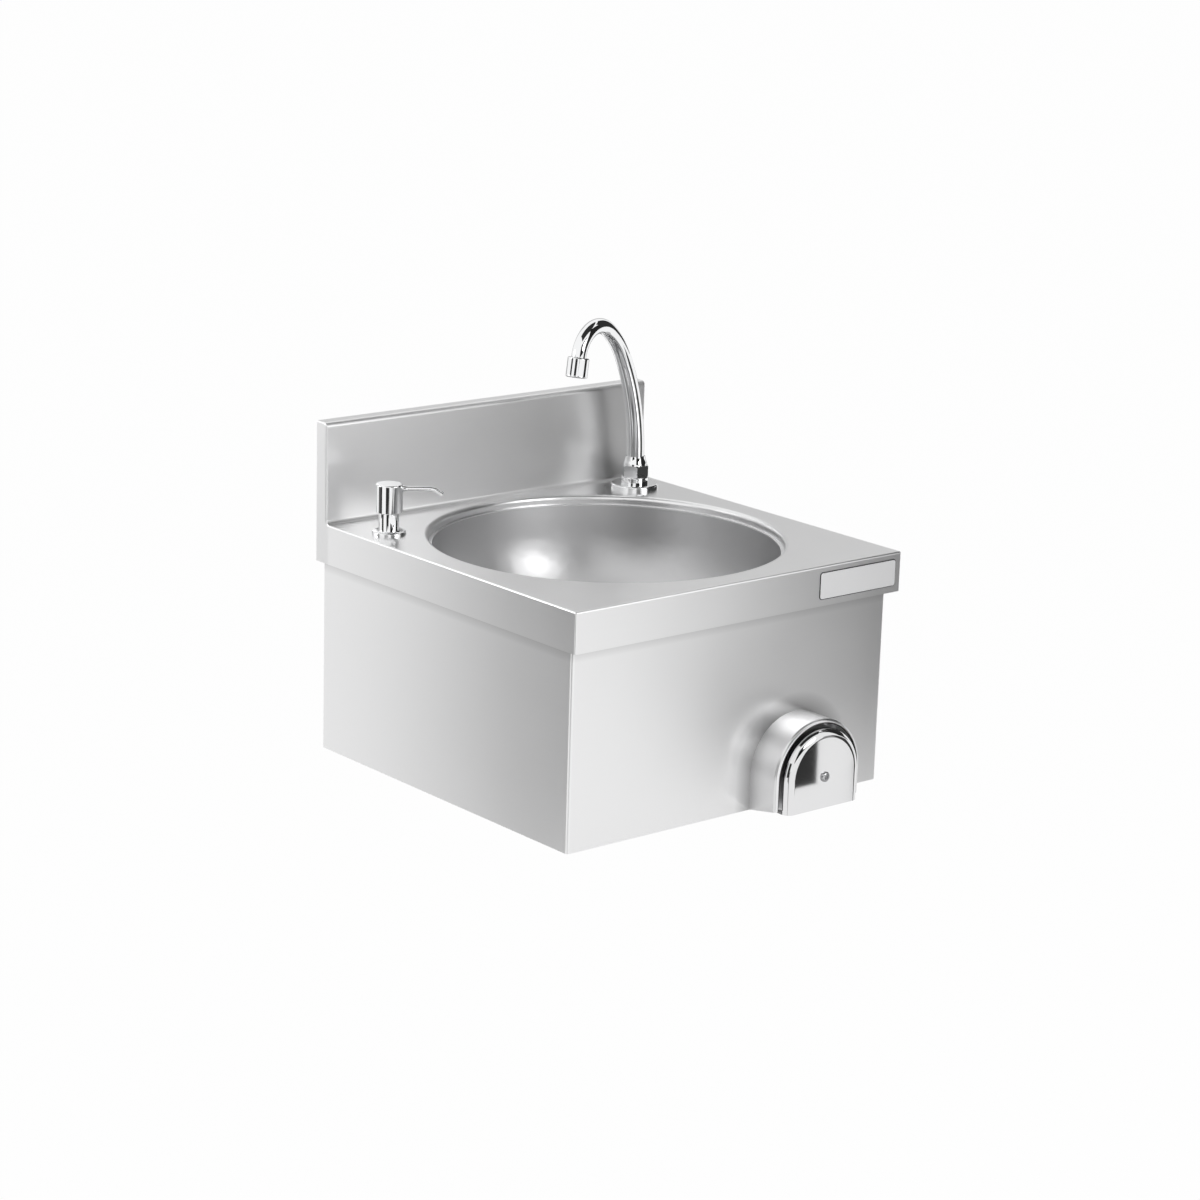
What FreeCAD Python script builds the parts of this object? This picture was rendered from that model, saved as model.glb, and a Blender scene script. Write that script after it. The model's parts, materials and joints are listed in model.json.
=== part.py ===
"""Wall-hung, knee-operated stainless steel hand wash basin, drawn in millimetres.

X runs to the right, the wall is the plane y = 0 with the room towards -Y, and Z is up.
Every sub-part is drawn with z counted from the top of the deck.  save() then moves it into
the object's frame, whose origin lies on the wall, midway between the two wall screws.
"""
import FreeCAD
import Part

import os
from math import atan2, cos, degrees, hypot, pi, radians, sin

from FreeCAD import Vector

# ---------------------------------------------------------------- driving dimensions
SHEET = 1.2                 # stainless sheet of the deck, the skirt and the fittings
GAP = 0.3                   # clearance between curved faces that only pass each other

WIDTH = 400.0               # deck, left to right
DEPTH = 400.0               # deck, front edge to wall
APRON = 39.0                # height of the deck's folded edge
EDGE_R = 2.0                # outer bend of the deck's front edge
SIDE_R = 1.7                # outer bend of its sides, round the splashback's ends too
RETURN_W = 16.0             # inward return at the foot of the apron
UPSTAND = 100.0             # splashback above the deck
UPSTAND_T = 16.0            # splashback thickness
UPSTAND_R = 5.0             # bends at the foot and at the top of the splashback
HEM = 24.0                  # fold behind the splashback that hooks on the rail

BOWL_Y = -200.0             # bowl centre, from the wall
RIM_R = 175.7               # where the deck starts to roll down into the bowl
RIM_BEND = 4.7              # radius of that roll
RIM_DEPTH = 9.0             # foot of the rolled rim
BOWL_R = 168.0              # bowl wall just below the rim
BOWL_DEPTH = 145.0          # bowl floor at the edge of the waste recess
BOWL_T = 1.0
BOWL_TAPER = radians(5.0)   # draft of the bowl wall
BOWL_FALL = radians(5.0)    # slope of the bowl floor
BOWL_CORNER = 118.0         # radius between wall and floor
RECESS_R = 34.0             # recess for the waste flange
RECESS_DEPTH = 3.5
WASTE_HOLE_R = 23.0

SKIRT_INSET_X = 7.0         # skirt set back from the deck's sides
SKIRT_INSET_Y = 12.0        # and from its front
SKIRT_FOOT = -230.0
SKIRT_R = 3.0               # upright corners of the skirt
SKIRT_REAR = -4.0           # rear edge of the skirt, just off the wall
TAB_W, TAB_L = 9.0, 30.0    # tabs that bolt the skirt under the apron's return

RAIL_SCREW_Z = 50.0         # wall screws above the deck: the origin's height
RAIL_SCREW_SPACING = 300.0
RAIL_HOLE_R = 4.25
RAIL_L = 340.0
RAIL_T = 2.0

TAP_X, TAP_Y = 157.0, -54.0
TUBE_R = 9.0                # spout tube at its foot
TUBE_TIP_R = 7.4            # and at its tip
TUBE_BORE_R = 6.9           # bore at its foot, narrowing to the next at its tip
TIP_BORE_R = 6.2
SPOUT_TURN = 17.0           # the spout points this far towards the front from -X, degrees
SPOUT_RISE = 34.5           # height where the tube starts to lean
SPOUT_ARCS = ((204.0, 32.5), (94.0, 24.0), (32.5, 113.5))   # radius, turn in degrees
AERATOR_R, AERATOR_L = 10.75, 20.0

SOAP_X, SOAP_Y = -169.0, -76.5
SOAP_NECK_R = 9.75
HEAD_R = 13.0
HEAD_FOOT, HEAD_TOP = 21.0, 49.0
STEM_R, STEM_TOP = 3.8, 36.0
NOZZLE_R = 2.4
NOZZLE_Z = 44.0
NOZZLE_REACH = 51.0
BOTTLE_R = 19.5
BOTTLE_L = 128.0
BOTTLE_TOP = -30.0
SOAP_SHANK_FOOT = -50.0

KNEE_X, KNEE_Z = 81.0, -195.0
COLLAR_R = 53.5
COLLAR_DEPTH = 36.0
COLLAR_OPEN_R = 49.5        # opening in the collar's front lip
COLLAR_FILLET = 3.5
COLLAR_RISE = 7.0           # the collar's foot rises this much towards the front
PUSHER_R = 46.0
PUSHER_PROUD = 45.0         # pusher's face in front of the skirt
PUSHER_FILLET = 8.0
PUSHER_T = 1.5
PUSHER_FOOT = -226.0
ROD_R = 5.0
RUNNING = 0.05              # radial clearance of a running fit

VALVE_R = 17.0
PORT_R = 8.5                # threaded ports of the water fittings
HOSE_R = 6.0
MIXER_X = (-58.0, 18.0)     # mixing valve body, left and right end
CHECK_X = (-36.0, 4.0)      # hot and cold inlet
INLET_THREAD_R = 10.48      # G 1/2 male
INLET_L = 14.0
WASTE_THREAD_R = 20.95      # G 1 1/4 male

SKIRT_FRONT = -DEPTH + SKIRT_INSET_Y            # outer face of the skirt's front
SKIRT_BACK_FACE = SKIRT_FRONT + SHEET           # its inner face
SKIRT_SIDE = WIDTH / 2 - SKIRT_INSET_X
VALVE_SEAT_Y = -351.0
VALVE_IN_Y = VALVE_SEAT_Y + 12.0                # inlet port, behind the seat
VALVE_OUT_Y = VALVE_SEAT_Y - 10.0               # outlet port, in front of it
UNDERSIDE = -SHEET                              # lower face of the deck
SHANK_FOOT = -60.0                              # lower end of the spout's shank

# The hose inside the skirt: out of the valve to the right, back, then up to the spout.
HOSE_ROUTE = [(KNEE_X + 30, VALVE_OUT_Y, KNEE_Z), (TAP_X, VALVE_OUT_Y, KNEE_Z),
              (TAP_X, TAP_Y, KNEE_Z), (TAP_X, TAP_Y, SHANK_FOOT)]
HOSE_RADII = (34.0, 70.0)
HOSE_BORE_R = 4.0


# ---------------------------------------------------------------- drawing helpers
def save(name, shape):
    """Writes a sub-part in the object's frame."""
    os.makedirs("parts", exist_ok=True)
    moved = shape.copy()
    moved.translate(Vector(0, 0, -RAIL_SCREW_Z))
    moved.exportStep("parts/%s.step" % name)


def block(x0, x1, y0, y1, z0, z1):
    """Box between two corners."""
    return Part.makeBox(x1 - x0, y1 - y0, z1 - z0, Vector(x0, y0, z0))


def rod(radius, foot, tip):
    """Cylinder from one point to another."""
    axis = Vector(*tip) - Vector(*foot)
    return Part.makeCylinder(radius, axis.Length, Vector(*foot), axis)


def tube(outer, inner, foot, tip):
    """Hollow cylinder from one point to another."""
    return rod(outer, foot, tip).cut(rod(inner, foot, tip))


def hexagon(across_flats, foot, tip):
    """Hexagonal bar from one point to another."""
    axis = Vector(*tip) - Vector(*foot)
    corner = across_flats / 2 / cos(pi / 6)
    corners = [Vector(corner * cos(k * pi / 3), corner * sin(k * pi / 3), 0) for k in range(7)]
    bar = Part.Face(Part.makePolygon(corners)).extrude(Vector(0, 0, axis.Length))
    bar.Placement = FreeCAD.Placement(Vector(*foot), FreeCAD.Rotation(Vector(0, 0, 1), axis))
    return bar


def nut(across_flats, bore, foot, tip):
    """Hexagonal nut with its corners chamfered round."""
    body = hexagon(across_flats, foot, tip).cut(rod(bore, foot, tip))
    axis = Vector(*tip) - Vector(*foot)
    corner = across_flats / 2 / cos(pi / 6)
    low = (corner + across_flats / 2) / 2
    rise = min(corner - low, axis.Length / 4)
    lens = turned([(0, 0), (low, 0), (corner, rise), (corner, axis.Length - rise),
                   (low, axis.Length), (0, axis.Length)])
    lens.Placement = FreeCAD.Placement(Vector(*foot), FreeCAD.Rotation(Vector(0, 0, 1), axis))
    return body.common(lens)


def path_edges(path, plane):
    """Edges through the path: a pair is a corner, a pair of pairs an arc's middle and end."""
    edges = []
    here = plane(*path[0])
    for step in path[1:]:
        if isinstance(step[0], tuple):
            end = plane(*step[1])
            edges.append(Part.Arc(here, plane(*step[0]), end).toShape())
        else:
            end = plane(*step)
            edges.append(Part.LineSegment(here, end).toShape())
        here = end
    return edges


def on_xz(a, b):
    """Plane of a turned section: a is the radius, b the height."""
    return Vector(a, 0, b)


def on_yz(a, b):
    """Plane of a side view."""
    return Vector(0, a, b)


def turned(path, centre=(0, 0, 0)):
    """Solid of revolution about Z: the path is closed and given as (radius, height)."""
    edges = path_edges(list(path) + [path[0]], on_xz)
    solid = Part.Face(Part.Wire(edges)).revolve(Vector(), Vector(0, 0, 1), 360)
    solid.translate(Vector(*centre))
    return solid


def along_y(shape, x, z):
    """Turns a shape drawn about Z so that its axis is +Y through (x, z)."""
    shape.rotate(Vector(), Vector(1, 0, 0), -90)
    shape.translate(Vector(x, 0, z))
    return shape


def ring_about(radius, wire_radius, centre, axis=(0, 0, 1)):
    """O-ring."""
    return Part.makeTorus(radius, wire_radius, Vector(*centre), Vector(*axis))


def edges_where(shape, test):
    """Edges whose middle point passes the test."""
    chosen = []
    for edge in shape.Edges:
        middle = edge.valueAt((edge.FirstParameter + edge.LastParameter) / 2)
        if test(middle):
            chosen.append(edge)
    return chosen


def near(value, target):
    return abs(value - target) < 0.01


# ---------------------------------------------------------------- deck and bowl
def deck_block(skin):
    """The deck with its apron and splashback as one solid, drawn in by the skin thickness."""
    half = WIDTH / 2 - skin
    front, face, crest = -DEPTH + skin, -UPSTAND_T + skin, UPSTAND - skin
    foot_z, top_z = -APRON - skin, -skin
    rim, cove, brow = EDGE_R - skin, UPSTAND_R + skin, UPSTAND_R - skin
    slant = 1 - cos(pi / 4)
    side_view = path_edges([
        (0, foot_z), (front, foot_z), (front, top_z - rim),
        ((front + rim * slant, top_z - rim * slant), (front + rim, top_z)),
        (face - cove, top_z),
        ((face - cove * slant, top_z + cove * slant), (face, top_z + cove)),
        (face, crest - brow),
        ((face + brow * slant, crest - brow * slant), (face + brow, crest)),
        (0, crest), (0, foot_z)], on_yz)
    body = Part.Face(Part.Wire(side_view)).extrude(Vector(2 * half, 0, 0))
    body.translate(Vector(-half, 0, 0))
    sides = edges_where(body, lambda p: near(abs(p.x), half) and p.z > foot_z + 1 and p.y < -1)
    crests = edges_where(body, lambda p: near(abs(p.x), half) and near(p.z, crest))
    return body.makeFillet(SIDE_R - skin, sides + crests)


def rolled_rim():
    """Edge of the deck rolled down into the bowl."""
    collar = RIM_R - RIM_BEND
    slant = RIM_BEND * (1 - cos(pi / 4))
    inner = RIM_BEND - SHEET
    inner_slant = RIM_BEND - inner * cos(pi / 4)
    return turned([
        (collar, -RIM_DEPTH),
        (collar, -RIM_BEND),
        ((collar + slant, -slant), (RIM_R, 0)),
        (RIM_R, -SHEET),
        ((collar + inner_slant, -inner_slant), (collar + SHEET, -RIM_BEND)),
        (collar + SHEET, -RIM_DEPTH),
    ], (0, BOWL_Y, 0))


def tab_places():
    """Middle of each tab along the skirt's top: (x, y, which way is inwards)."""
    side = SKIRT_SIDE - SHEET
    places = []
    for y in (-310.0, -200.0):
        places.append((-side, y, (1, 0)))
        places.append((side, y, (-1, 0)))
    for x in (-120.0, 120.0):
        places.append((x, SKIRT_BACK_FACE, (0, 1)))
    return places


def tab_screw_places():
    """Axis of each skirt screw."""
    return [(x + inward[0] * TAB_W / 2, y + inward[1] * TAB_W / 2)
            for x, y, inward in tab_places()]


def deck_pan():
    """Deck, apron with its return, splashback and hem, folded from one sheet."""
    body = deck_block(0).cut(deck_block(SHEET))
    back = block(-WIDTH / 2 + SHEET, WIDTH / 2 - SHEET, -SHEET, 0, UPSTAND - HEM, UPSTAND - SHEET)
    outer = block(-WIDTH / 2 + SHEET, WIDTH / 2 - SHEET, -DEPTH + SHEET, 0, -APRON, -APRON + SHEET)
    lip = SHEET + RETURN_W
    window = block(-WIDTH / 2 + lip, WIDTH / 2 - lip, -DEPTH + SKIRT_INSET_Y + SHEET + TAB_W + 1, 1,
                   -APRON - 1, 0)
    body = body.fuse([back, outer.cut(window)])
    body = body.cut(rod(RIM_R, (0, BOWL_Y, -5), (0, BOWL_Y, 1)))
    body = body.fuse(rolled_rim()).removeSplitter()
    holes = [rod(11.0, (TAP_X, TAP_Y, -3), (TAP_X, TAP_Y, 1)),
             rod(12.0, (SOAP_X, SOAP_Y, -3), (SOAP_X, SOAP_Y, 1))]
    for x, y in tab_screw_places():
        holes.append(rod(2.25, (x, y, -APRON - 1), (x, y, -APRON + 3)))
    return body.cut(Part.makeCompound(holes))


def bowl_section(offset):
    """Inside of the bowl in section, moved outwards by the offset: rim to waste hole."""
    wall_in = (-cos(BOWL_TAPER), sin(BOWL_TAPER))
    floor_up = (-sin(BOWL_FALL), cos(BOWL_FALL))
    wall_dir = (-sin(BOWL_TAPER), -cos(BOWL_TAPER))
    floor_dir = (cos(BOWL_FALL), sin(BOWL_FALL))
    wall_top = (BOWL_R, -RIM_DEPTH - BOWL_T)
    floor_end = (RECESS_R, -BOWL_DEPTH)
    # corner centre: wall_top + s * wall_dir + R * wall_in = floor_end + t * floor_dir + R * floor_up
    gap_r = floor_end[0] - wall_top[0] + BOWL_CORNER * (floor_up[0] - wall_in[0])
    gap_z = floor_end[1] - wall_top[1] + BOWL_CORNER * (floor_up[1] - wall_in[1])
    cross = -wall_dir[0] * floor_dir[1] + floor_dir[0] * wall_dir[1]
    along = (-gap_r * floor_dir[1] + floor_dir[0] * gap_z) / cross
    centre = (wall_top[0] + along * wall_dir[0] + BOWL_CORNER * wall_in[0],
              wall_top[1] + along * wall_dir[1] + BOWL_CORNER * wall_in[1])
    radius = BOWL_CORNER + offset
    between = (wall_in[0] + floor_up[0], wall_in[1] + floor_up[1])
    length = hypot(*between)
    wall_end = (centre[0] - radius * wall_in[0], centre[1] - radius * wall_in[1])
    middle = (centre[0] - radius * between[0] / length, centre[1] - radius * between[1] / length)
    floor_start = (centre[0] - radius * floor_up[0], centre[1] - radius * floor_up[1])
    floor_z = -BOWL_DEPTH - offset
    recess = RECESS_R + offset
    return [
        (BOWL_R + offset, -RIM_DEPTH - BOWL_T),
        wall_end,
        (middle, floor_start),
        (recess, floor_z),
        (recess, floor_z - RECESS_DEPTH),
        (WASTE_HOLE_R, floor_z - RECESS_DEPTH),
    ]


def bowl():
    """Spun bowl: its flat brim is welded under the rolled rim of the deck."""
    brim = RIM_R - RIM_BEND + SHEET
    inside = bowl_section(0)
    outside = bowl_section(BOWL_T)
    brim_foot, wall_end, corner, lip, recess, hole = outside
    path = [(BOWL_R, -RIM_DEPTH)] + inside
    path += [hole, recess, lip, corner[1], (corner[0], wall_end)]
    path += [brim_foot, (brim, -RIM_DEPTH - BOWL_T), (brim, -RIM_DEPTH)]
    return turned(path, (0, BOWL_Y, 0))


# ---------------------------------------------------------------- skirt and wall rail
def skirt_block(skin):
    """Skirt as a solid, drawn in by the skin thickness, with round upright corners."""
    half = SKIRT_SIDE - skin
    body = block(-half, half, SKIRT_FRONT + skin, SKIRT_REAR, SKIRT_FOOT, -APRON)
    corners = edges_where(body, lambda p: near(abs(p.x), half) and near(p.y, SKIRT_FRONT + skin))
    return body.makeFillet(SKIRT_R - skin, corners)


def skirt_panel():
    """Skirt folded round three sides, with hems at its foot and rear and tabs at its top."""
    hem = 12.0
    inner = skirt_block(SHEET)
    body = skirt_block(0).cut(inner)
    half = SKIRT_SIDE - SHEET - hem
    well = block(-half, half, SKIRT_BACK_FACE + hem, 1, SKIRT_FOOT - 1, 0)
    foot = inner.common(block(-WIDTH, WIDTH, -DEPTH, 0, SKIRT_FOOT, SKIRT_FOOT + SHEET))
    rear = inner.common(block(-WIDTH, WIDTH, SKIRT_REAR - SHEET, SKIRT_REAR, -DEPTH, 0))
    body = body.fuse([foot.cut(well), rear.cut(well)])
    for x, y, inward in tab_places():
        if inward[0]:
            tab = block(min(x, x + inward[0] * TAB_W), max(x, x + inward[0] * TAB_W),
                        y - TAB_L / 2, y + TAB_L / 2, -APRON - SHEET, -APRON)
        else:
            tab = block(x - TAB_L / 2, x + TAB_L / 2, y, y + TAB_W, -APRON - SHEET, -APRON)
        body = body.fuse(tab)
    holes = [rod(2.25, (x, y, -APRON - 3), (x, y, -APRON + 1)) for x, y in tab_screw_places()]
    holes.append(rod(13.5, (KNEE_X, SKIRT_FRONT - 1, KNEE_Z), (KNEE_X, SKIRT_FRONT + 3, KNEE_Z)))
    for x, z in collar_screw_places():
        holes.append(rod(2.25, (x, SKIRT_FRONT - 1, z), (x, SKIRT_FRONT + 3, z)))
    return body.cut(Part.makeCompound(holes)).removeSplitter()


def pan_screw(x, y, z, axis, length):
    """M4 screw: z is the underside of its head, the shank runs along the axis."""
    head = turned([(0, -2.4), (2.4, -2.4), ((3.3, -1.6), (3.6, 0)), (0, 0)])
    shank = Part.makeCylinder(2.0, length)
    slot = hexagon(2.5, (0, 0, -3), (0, 0, -1.2))
    screw = head.fuse(shank).cut(slot)
    turn = FreeCAD.Rotation(Vector(0, 0, 1), Vector(*axis))
    screw.Placement = FreeCAD.Placement(Vector(x, y, z), turn)
    return screw


def skirt_screws():
    """Screws that hold the skirt's tabs up against the apron's return."""
    head_z = -APRON - SHEET
    return Part.makeCompound([pan_screw(x, y, head_z, (0, 0, 1), 8.0)
                              for x, y in tab_screw_places()])


def skirt_nuts():
    """Nuts on the skirt screws, above the return."""
    foot = -APRON + SHEET
    return Part.makeCompound([nut(7.0, 2.0, (x, y, foot), (x, y, foot + 3.2))
                              for x, y in tab_screw_places()])


def hanging_rail():
    """Joggled rail that is screwed to the wall and carries the splashback's hem."""
    step = SHEET + GAP
    hem_foot = UPSTAND - HEM
    low = RAIL_SCREW_Z - 20.0
    bend_low = hem_foot - 8.0
    bend_high = hem_foot - 3.0
    top = UPSTAND - SHEET
    path = [(0, low), (0, bend_low), (-step, bend_high), (-step, top), (-step - RAIL_T, top),
            (-step - RAIL_T, bend_high - 0.8), (-RAIL_T, bend_low - 0.8), (-RAIL_T, low), (0, low)]
    face = Part.Face(Part.Wire(path_edges(path, on_yz)))
    rail = face.extrude(Vector(RAIL_L, 0, 0))
    rail.translate(Vector(-RAIL_L / 2, 0, 0))
    for side in (-1, 1):
        x = side * RAIL_SCREW_SPACING / 2
        rail = rail.cut(rod(RAIL_HOLE_R, (x, -9, RAIL_SCREW_Z), (x, 1, RAIL_SCREW_Z)))
    return rail


# ---------------------------------------------------------------- knee control
def arch(radius, foot):
    """Closed outline of the knee control: a half circle on two straight legs, open-ended down."""
    left, right = KNEE_X - radius, KNEE_X + radius
    path = [(left, foot), (left, KNEE_Z), ((KNEE_X, KNEE_Z + radius), (right, KNEE_Z)),
            (right, foot), (left, foot)]
    return Part.Face(Part.Wire(path_edges(path, on_xz)))


def arch_block(radius, foot, proud, back):
    """The arch carried from the given distance in front of the skirt back towards it."""
    face = arch(radius, foot)
    face.translate(Vector(0, SKIRT_FRONT - proud, 0))
    return face.extrude(Vector(0, proud - back, 0))


def round_front(body, radius, size, proud):
    """Rounds the arch's edge where its walls meet its front face."""
    front = SKIRT_FRONT - proud
    chosen = edges_where(body, lambda p: near(p.y, front) and (
        near(abs(p.x - KNEE_X), radius) or near(hypot(p.x - KNEE_X, p.z - KNEE_Z), radius)))
    return body.makeFillet(size, chosen)


def collar_screw_places():
    """Screws of the knee collar's back flange."""
    radius = COLLAR_OPEN_R - 3.0
    return [(KNEE_X + radius * cos(radians(a)), KNEE_Z + radius * sin(radians(a)))
            for a in (30.0, 90.0, 150.0)]


def knee_collar():
    """Arch-shaped shroud round the pusher, open at its foot, which rises towards the front."""
    lip = 1.6
    low = SKIRT_FOOT - 10
    shell = round_front(arch_block(COLLAR_R, low, COLLAR_DEPTH, 0),
                        COLLAR_R, COLLAR_FILLET, COLLAR_DEPTH)
    hollow = round_front(arch_block(COLLAR_R - lip, low, COLLAR_DEPTH - lip, 0),
                         COLLAR_R - lip, COLLAR_FILLET - lip, COLLAR_DEPTH - lip)
    flange = arch_block(COLLAR_R - lip, low, lip, 0).cut(
        arch_block(COLLAR_OPEN_R - 8.0, low - 5, lip + 1, -1))
    body = shell.cut(hollow)
    body = body.cut(arch_block(COLLAR_OPEN_R, low - 5, COLLAR_DEPTH + 1, COLLAR_DEPTH - lip - 4))
    body = body.fuse(flange).removeSplitter()
    holes = [rod(2.25, (x, SKIRT_FRONT - 5, z), (x, SKIRT_FRONT + 1, z))
             for x, z in collar_screw_places()]
    body = body.cut(Part.makeCompound(holes))
    wedge = Part.Face(Part.Wire(path_edges(
        [(SKIRT_FRONT + 1, SKIRT_FOOT), (SKIRT_FRONT - COLLAR_DEPTH - 1, SKIRT_FOOT + COLLAR_RISE),
         (SKIRT_FRONT - COLLAR_DEPTH - 1, low - 20), (SKIRT_FRONT + 1, low - 20),
         (SKIRT_FRONT + 1, SKIRT_FOOT)], on_yz)))
    cutter = wedge.extrude(Vector(WIDTH, 0, 0))
    cutter.translate(Vector(-WIDTH / 2, 0, 0))
    return body.cut(cutter)


def collar_screws():
    """Screws that hold the collar's flange to the skirt."""
    y = SKIRT_FRONT - 1.6
    return Part.makeCompound([pan_screw(x, y, z, (0, 1, 0), 9.0)
                              for x, z in collar_screw_places()])


def collar_nuts():
    """Nuts of the collar screws, behind the skirt."""
    y = SKIRT_BACK_FACE
    return Part.makeCompound([nut(7.0, 2.0, (x, y, z), (x, y + 3.2, z))
                              for x, z in collar_screw_places()])


def knee_pusher():
    """Pressed cup that the knee pushes: full round edge, open behind and at its foot."""
    back = 16.0
    shell = arch_block(PUSHER_R, PUSHER_FOOT, PUSHER_PROUD, back)
    shell = round_front(shell, PUSHER_R, PUSHER_FILLET, PUSHER_PROUD)
    hollow = arch_block(PUSHER_R - PUSHER_T, PUSHER_FOOT - 5, PUSHER_PROUD - PUSHER_T, back - 5)
    hollow = round_front(hollow, PUSHER_R - PUSHER_T, PUSHER_FILLET - PUSHER_T,
                         PUSHER_PROUD - PUSHER_T)
    face = SKIRT_FRONT - PUSHER_PROUD
    hole = rod(2.75, (KNEE_X, face - 1, KNEE_Z), (KNEE_X, face + 5, KNEE_Z))
    return shell.cut(hollow).cut(hole)


def pusher_screw():
    """Pan-head screw in the middle of the pusher, with a hexagon socket."""
    face = SKIRT_FRONT - PUSHER_PROUD
    head = turned([(0, -2.8), (2.6, -2.8), ((4.4, -2.0), (5.0, -0.6)), (5.0, 0), (0, 0)])
    shank = Part.makeCylinder(2.5, 14.0)
    socket = hexagon(3.2, (0, 0, -3), (0, 0, -1.0))
    return along_y(head.fuse(shank).cut(socket), KNEE_X, KNEE_Z).translated(Vector(0, face, 0))


def push_rod():
    """Rod behind the pusher: flanged in front, guided by the valve's neck."""
    front = SKIRT_FRONT - PUSHER_PROUD + PUSHER_T
    rear = VALVE_SEAT_Y - 20.0
    length = rear - front
    body = turned([(0, 0), (13.0, 0), (13.0, 2.0), (7.0, 4.0), (ROD_R, 6.0), (ROD_R, length - 0.6),
                   (ROD_R - 0.6, length), (0, length)])
    body = body.cut(Part.makeCylinder(2.5, 15.0))
    body = body.cut(Part.makeCylinder(3.5, 8.0, Vector(0, 0, length - 8.0)))
    return along_y(body, KNEE_X, KNEE_Z).translated(Vector(0, front, 0))


def valve_body():
    """Brass valve: a threaded neck through the skirt, a seat and two side ports."""
    neck_y = SKIRT_FRONT - 11.0
    rear_y = VALVE_SEAT_Y + 29.0
    outside = turned([
        (0, neck_y), (12.0, neck_y), (13.0, neck_y + 1.0), (13.0, SKIRT_BACK_FACE),
        (20.0, SKIRT_BACK_FACE), (20.0, SKIRT_BACK_FACE + 4), (VALVE_R, SKIRT_BACK_FACE + 6),
        (VALVE_R, rear_y), (0, rear_y)])
    chamber = turned([
        (0, neck_y - 1), (ROD_R + RUNNING, neck_y - 1), (ROD_R + RUNNING, -388.0),
        (7.5, -388.0), (7.5, -385.4), (ROD_R + RUNNING, -385.4),
        (ROD_R + RUNNING, VALVE_SEAT_Y - 17), (11.0, VALVE_SEAT_Y - 17),
        (11.0, VALVE_SEAT_Y - 3), (7.0, VALVE_SEAT_Y - 3), (7.0, VALVE_SEAT_Y),
        (11.0, VALVE_SEAT_Y), (11.0, rear_y + 1), (0, rear_y + 1)])
    body = along_y(outside, KNEE_X, KNEE_Z)
    ports = []
    bores = []
    for side, y in ((1, VALVE_OUT_Y), (-1, VALVE_IN_Y)):
        start = KNEE_X + side * 8.0
        end = KNEE_X + side * 30.0
        ports.append(rod(PORT_R, (start, y, KNEE_Z), (end, y, KNEE_Z)))
        ports.append(hexagon(20.0, (start, y, KNEE_Z), (KNEE_X + side * 21.0, y, KNEE_Z)))
        bores.append(rod(5.0, (start, y, KNEE_Z), (end + side, y, KNEE_Z)))
    body = body.fuse(ports)
    return body.cut([along_y(chamber, KNEE_X, KNEE_Z)] + bores).removeSplitter()


def valve_locknut():
    """Nut that clamps the valve's neck to the skirt, hidden by the pusher."""
    y = SKIRT_FRONT
    return nut(32.0, 13.0, (KNEE_X, y - 6, KNEE_Z), (KNEE_X, y, KNEE_Z))


def rod_seal():
    """Rubber ring in the valve's neck round the push rod."""
    return ring_about(6.3, 1.15, (KNEE_X, -386.7, KNEE_Z), (0, 1, 0))


def valve_poppet():
    """Stem and disc that the rod pushes off the seat."""
    front = VALVE_SEAT_Y - 28.0
    seat = VALVE_SEAT_Y - front + 2.0
    body = turned([(0, 0), (3.5, 0), (3.5, seat), (9.5, seat), (9.5, seat + 3), (4.0, seat + 3),
                   (4.0, seat + 7), (0, seat + 7)])
    return along_y(body, KNEE_X, KNEE_Z).translated(Vector(0, front, 0))


def poppet_washer():
    """Rubber washer of the poppet, closed on the seat."""
    return tube(9.5, 3.5, (KNEE_X, VALVE_SEAT_Y, KNEE_Z), (KNEE_X, VALVE_SEAT_Y + 2.0, KNEE_Z))


def valve_spring():
    """Spring that closes the poppet and returns the pusher, drawn as its sleeve."""
    front = VALVE_SEAT_Y + 5.0
    return tube(7.0, 5.2, (KNEE_X, front, KNEE_Z), (KNEE_X, VALVE_SEAT_Y + 25.0, KNEE_Z))


def valve_cap():
    """Hexagonal plug that closes the valve's rear and carries the spring."""
    rear_y = VALVE_SEAT_Y + 29.0
    inner = rod(11.0, (KNEE_X, rear_y - 4, KNEE_Z), (KNEE_X, rear_y, KNEE_Z))
    head = nut(30.0, 3.0, (KNEE_X, rear_y, KNEE_Z), (KNEE_X, rear_y + 8, KNEE_Z))
    plug = rod(3.0, (KNEE_X, rear_y, KNEE_Z), (KNEE_X, rear_y + 8, KNEE_Z))
    return inner.fuse([head, plug]).removeSplitter()


# ---------------------------------------------------------------- mixing valve and hose
def mixer_body():
    """Mixing valve below the bowl: two inlets from below, one outlet to the knee valve."""
    left, right = MIXER_X
    y = VALVE_IN_Y
    body = rod(VALVE_R, (left, y, KNEE_Z), (right, y, KNEE_Z))
    rims = edges_where(body, lambda p: near(p.x, left) or near(p.x, right))
    body = body.makeFillet(2.0, rims)
    parts = [rod(PORT_R, (right - 2, y, KNEE_Z), (right + 6, y, KNEE_Z))]
    bores = [rod(5.0, (right - 8, y, KNEE_Z), (right + 7, y, KNEE_Z)),
             rod(10.0, (left + 12, y, KNEE_Z), (right - 8, y, KNEE_Z)),
             rod(8.0, (left - 1, y, KNEE_Z), (left + 12, y, KNEE_Z))]
    for x in CHECK_X:
        parts.append(rod(13.0, (x, y, KNEE_Z - 5), (x, y, KNEE_Z - 20)))
        bores.append(rod(8.0, (x, y, KNEE_Z), (x, y, KNEE_Z - 21)))
    return body.fuse(parts).cut(bores).removeSplitter()


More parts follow.
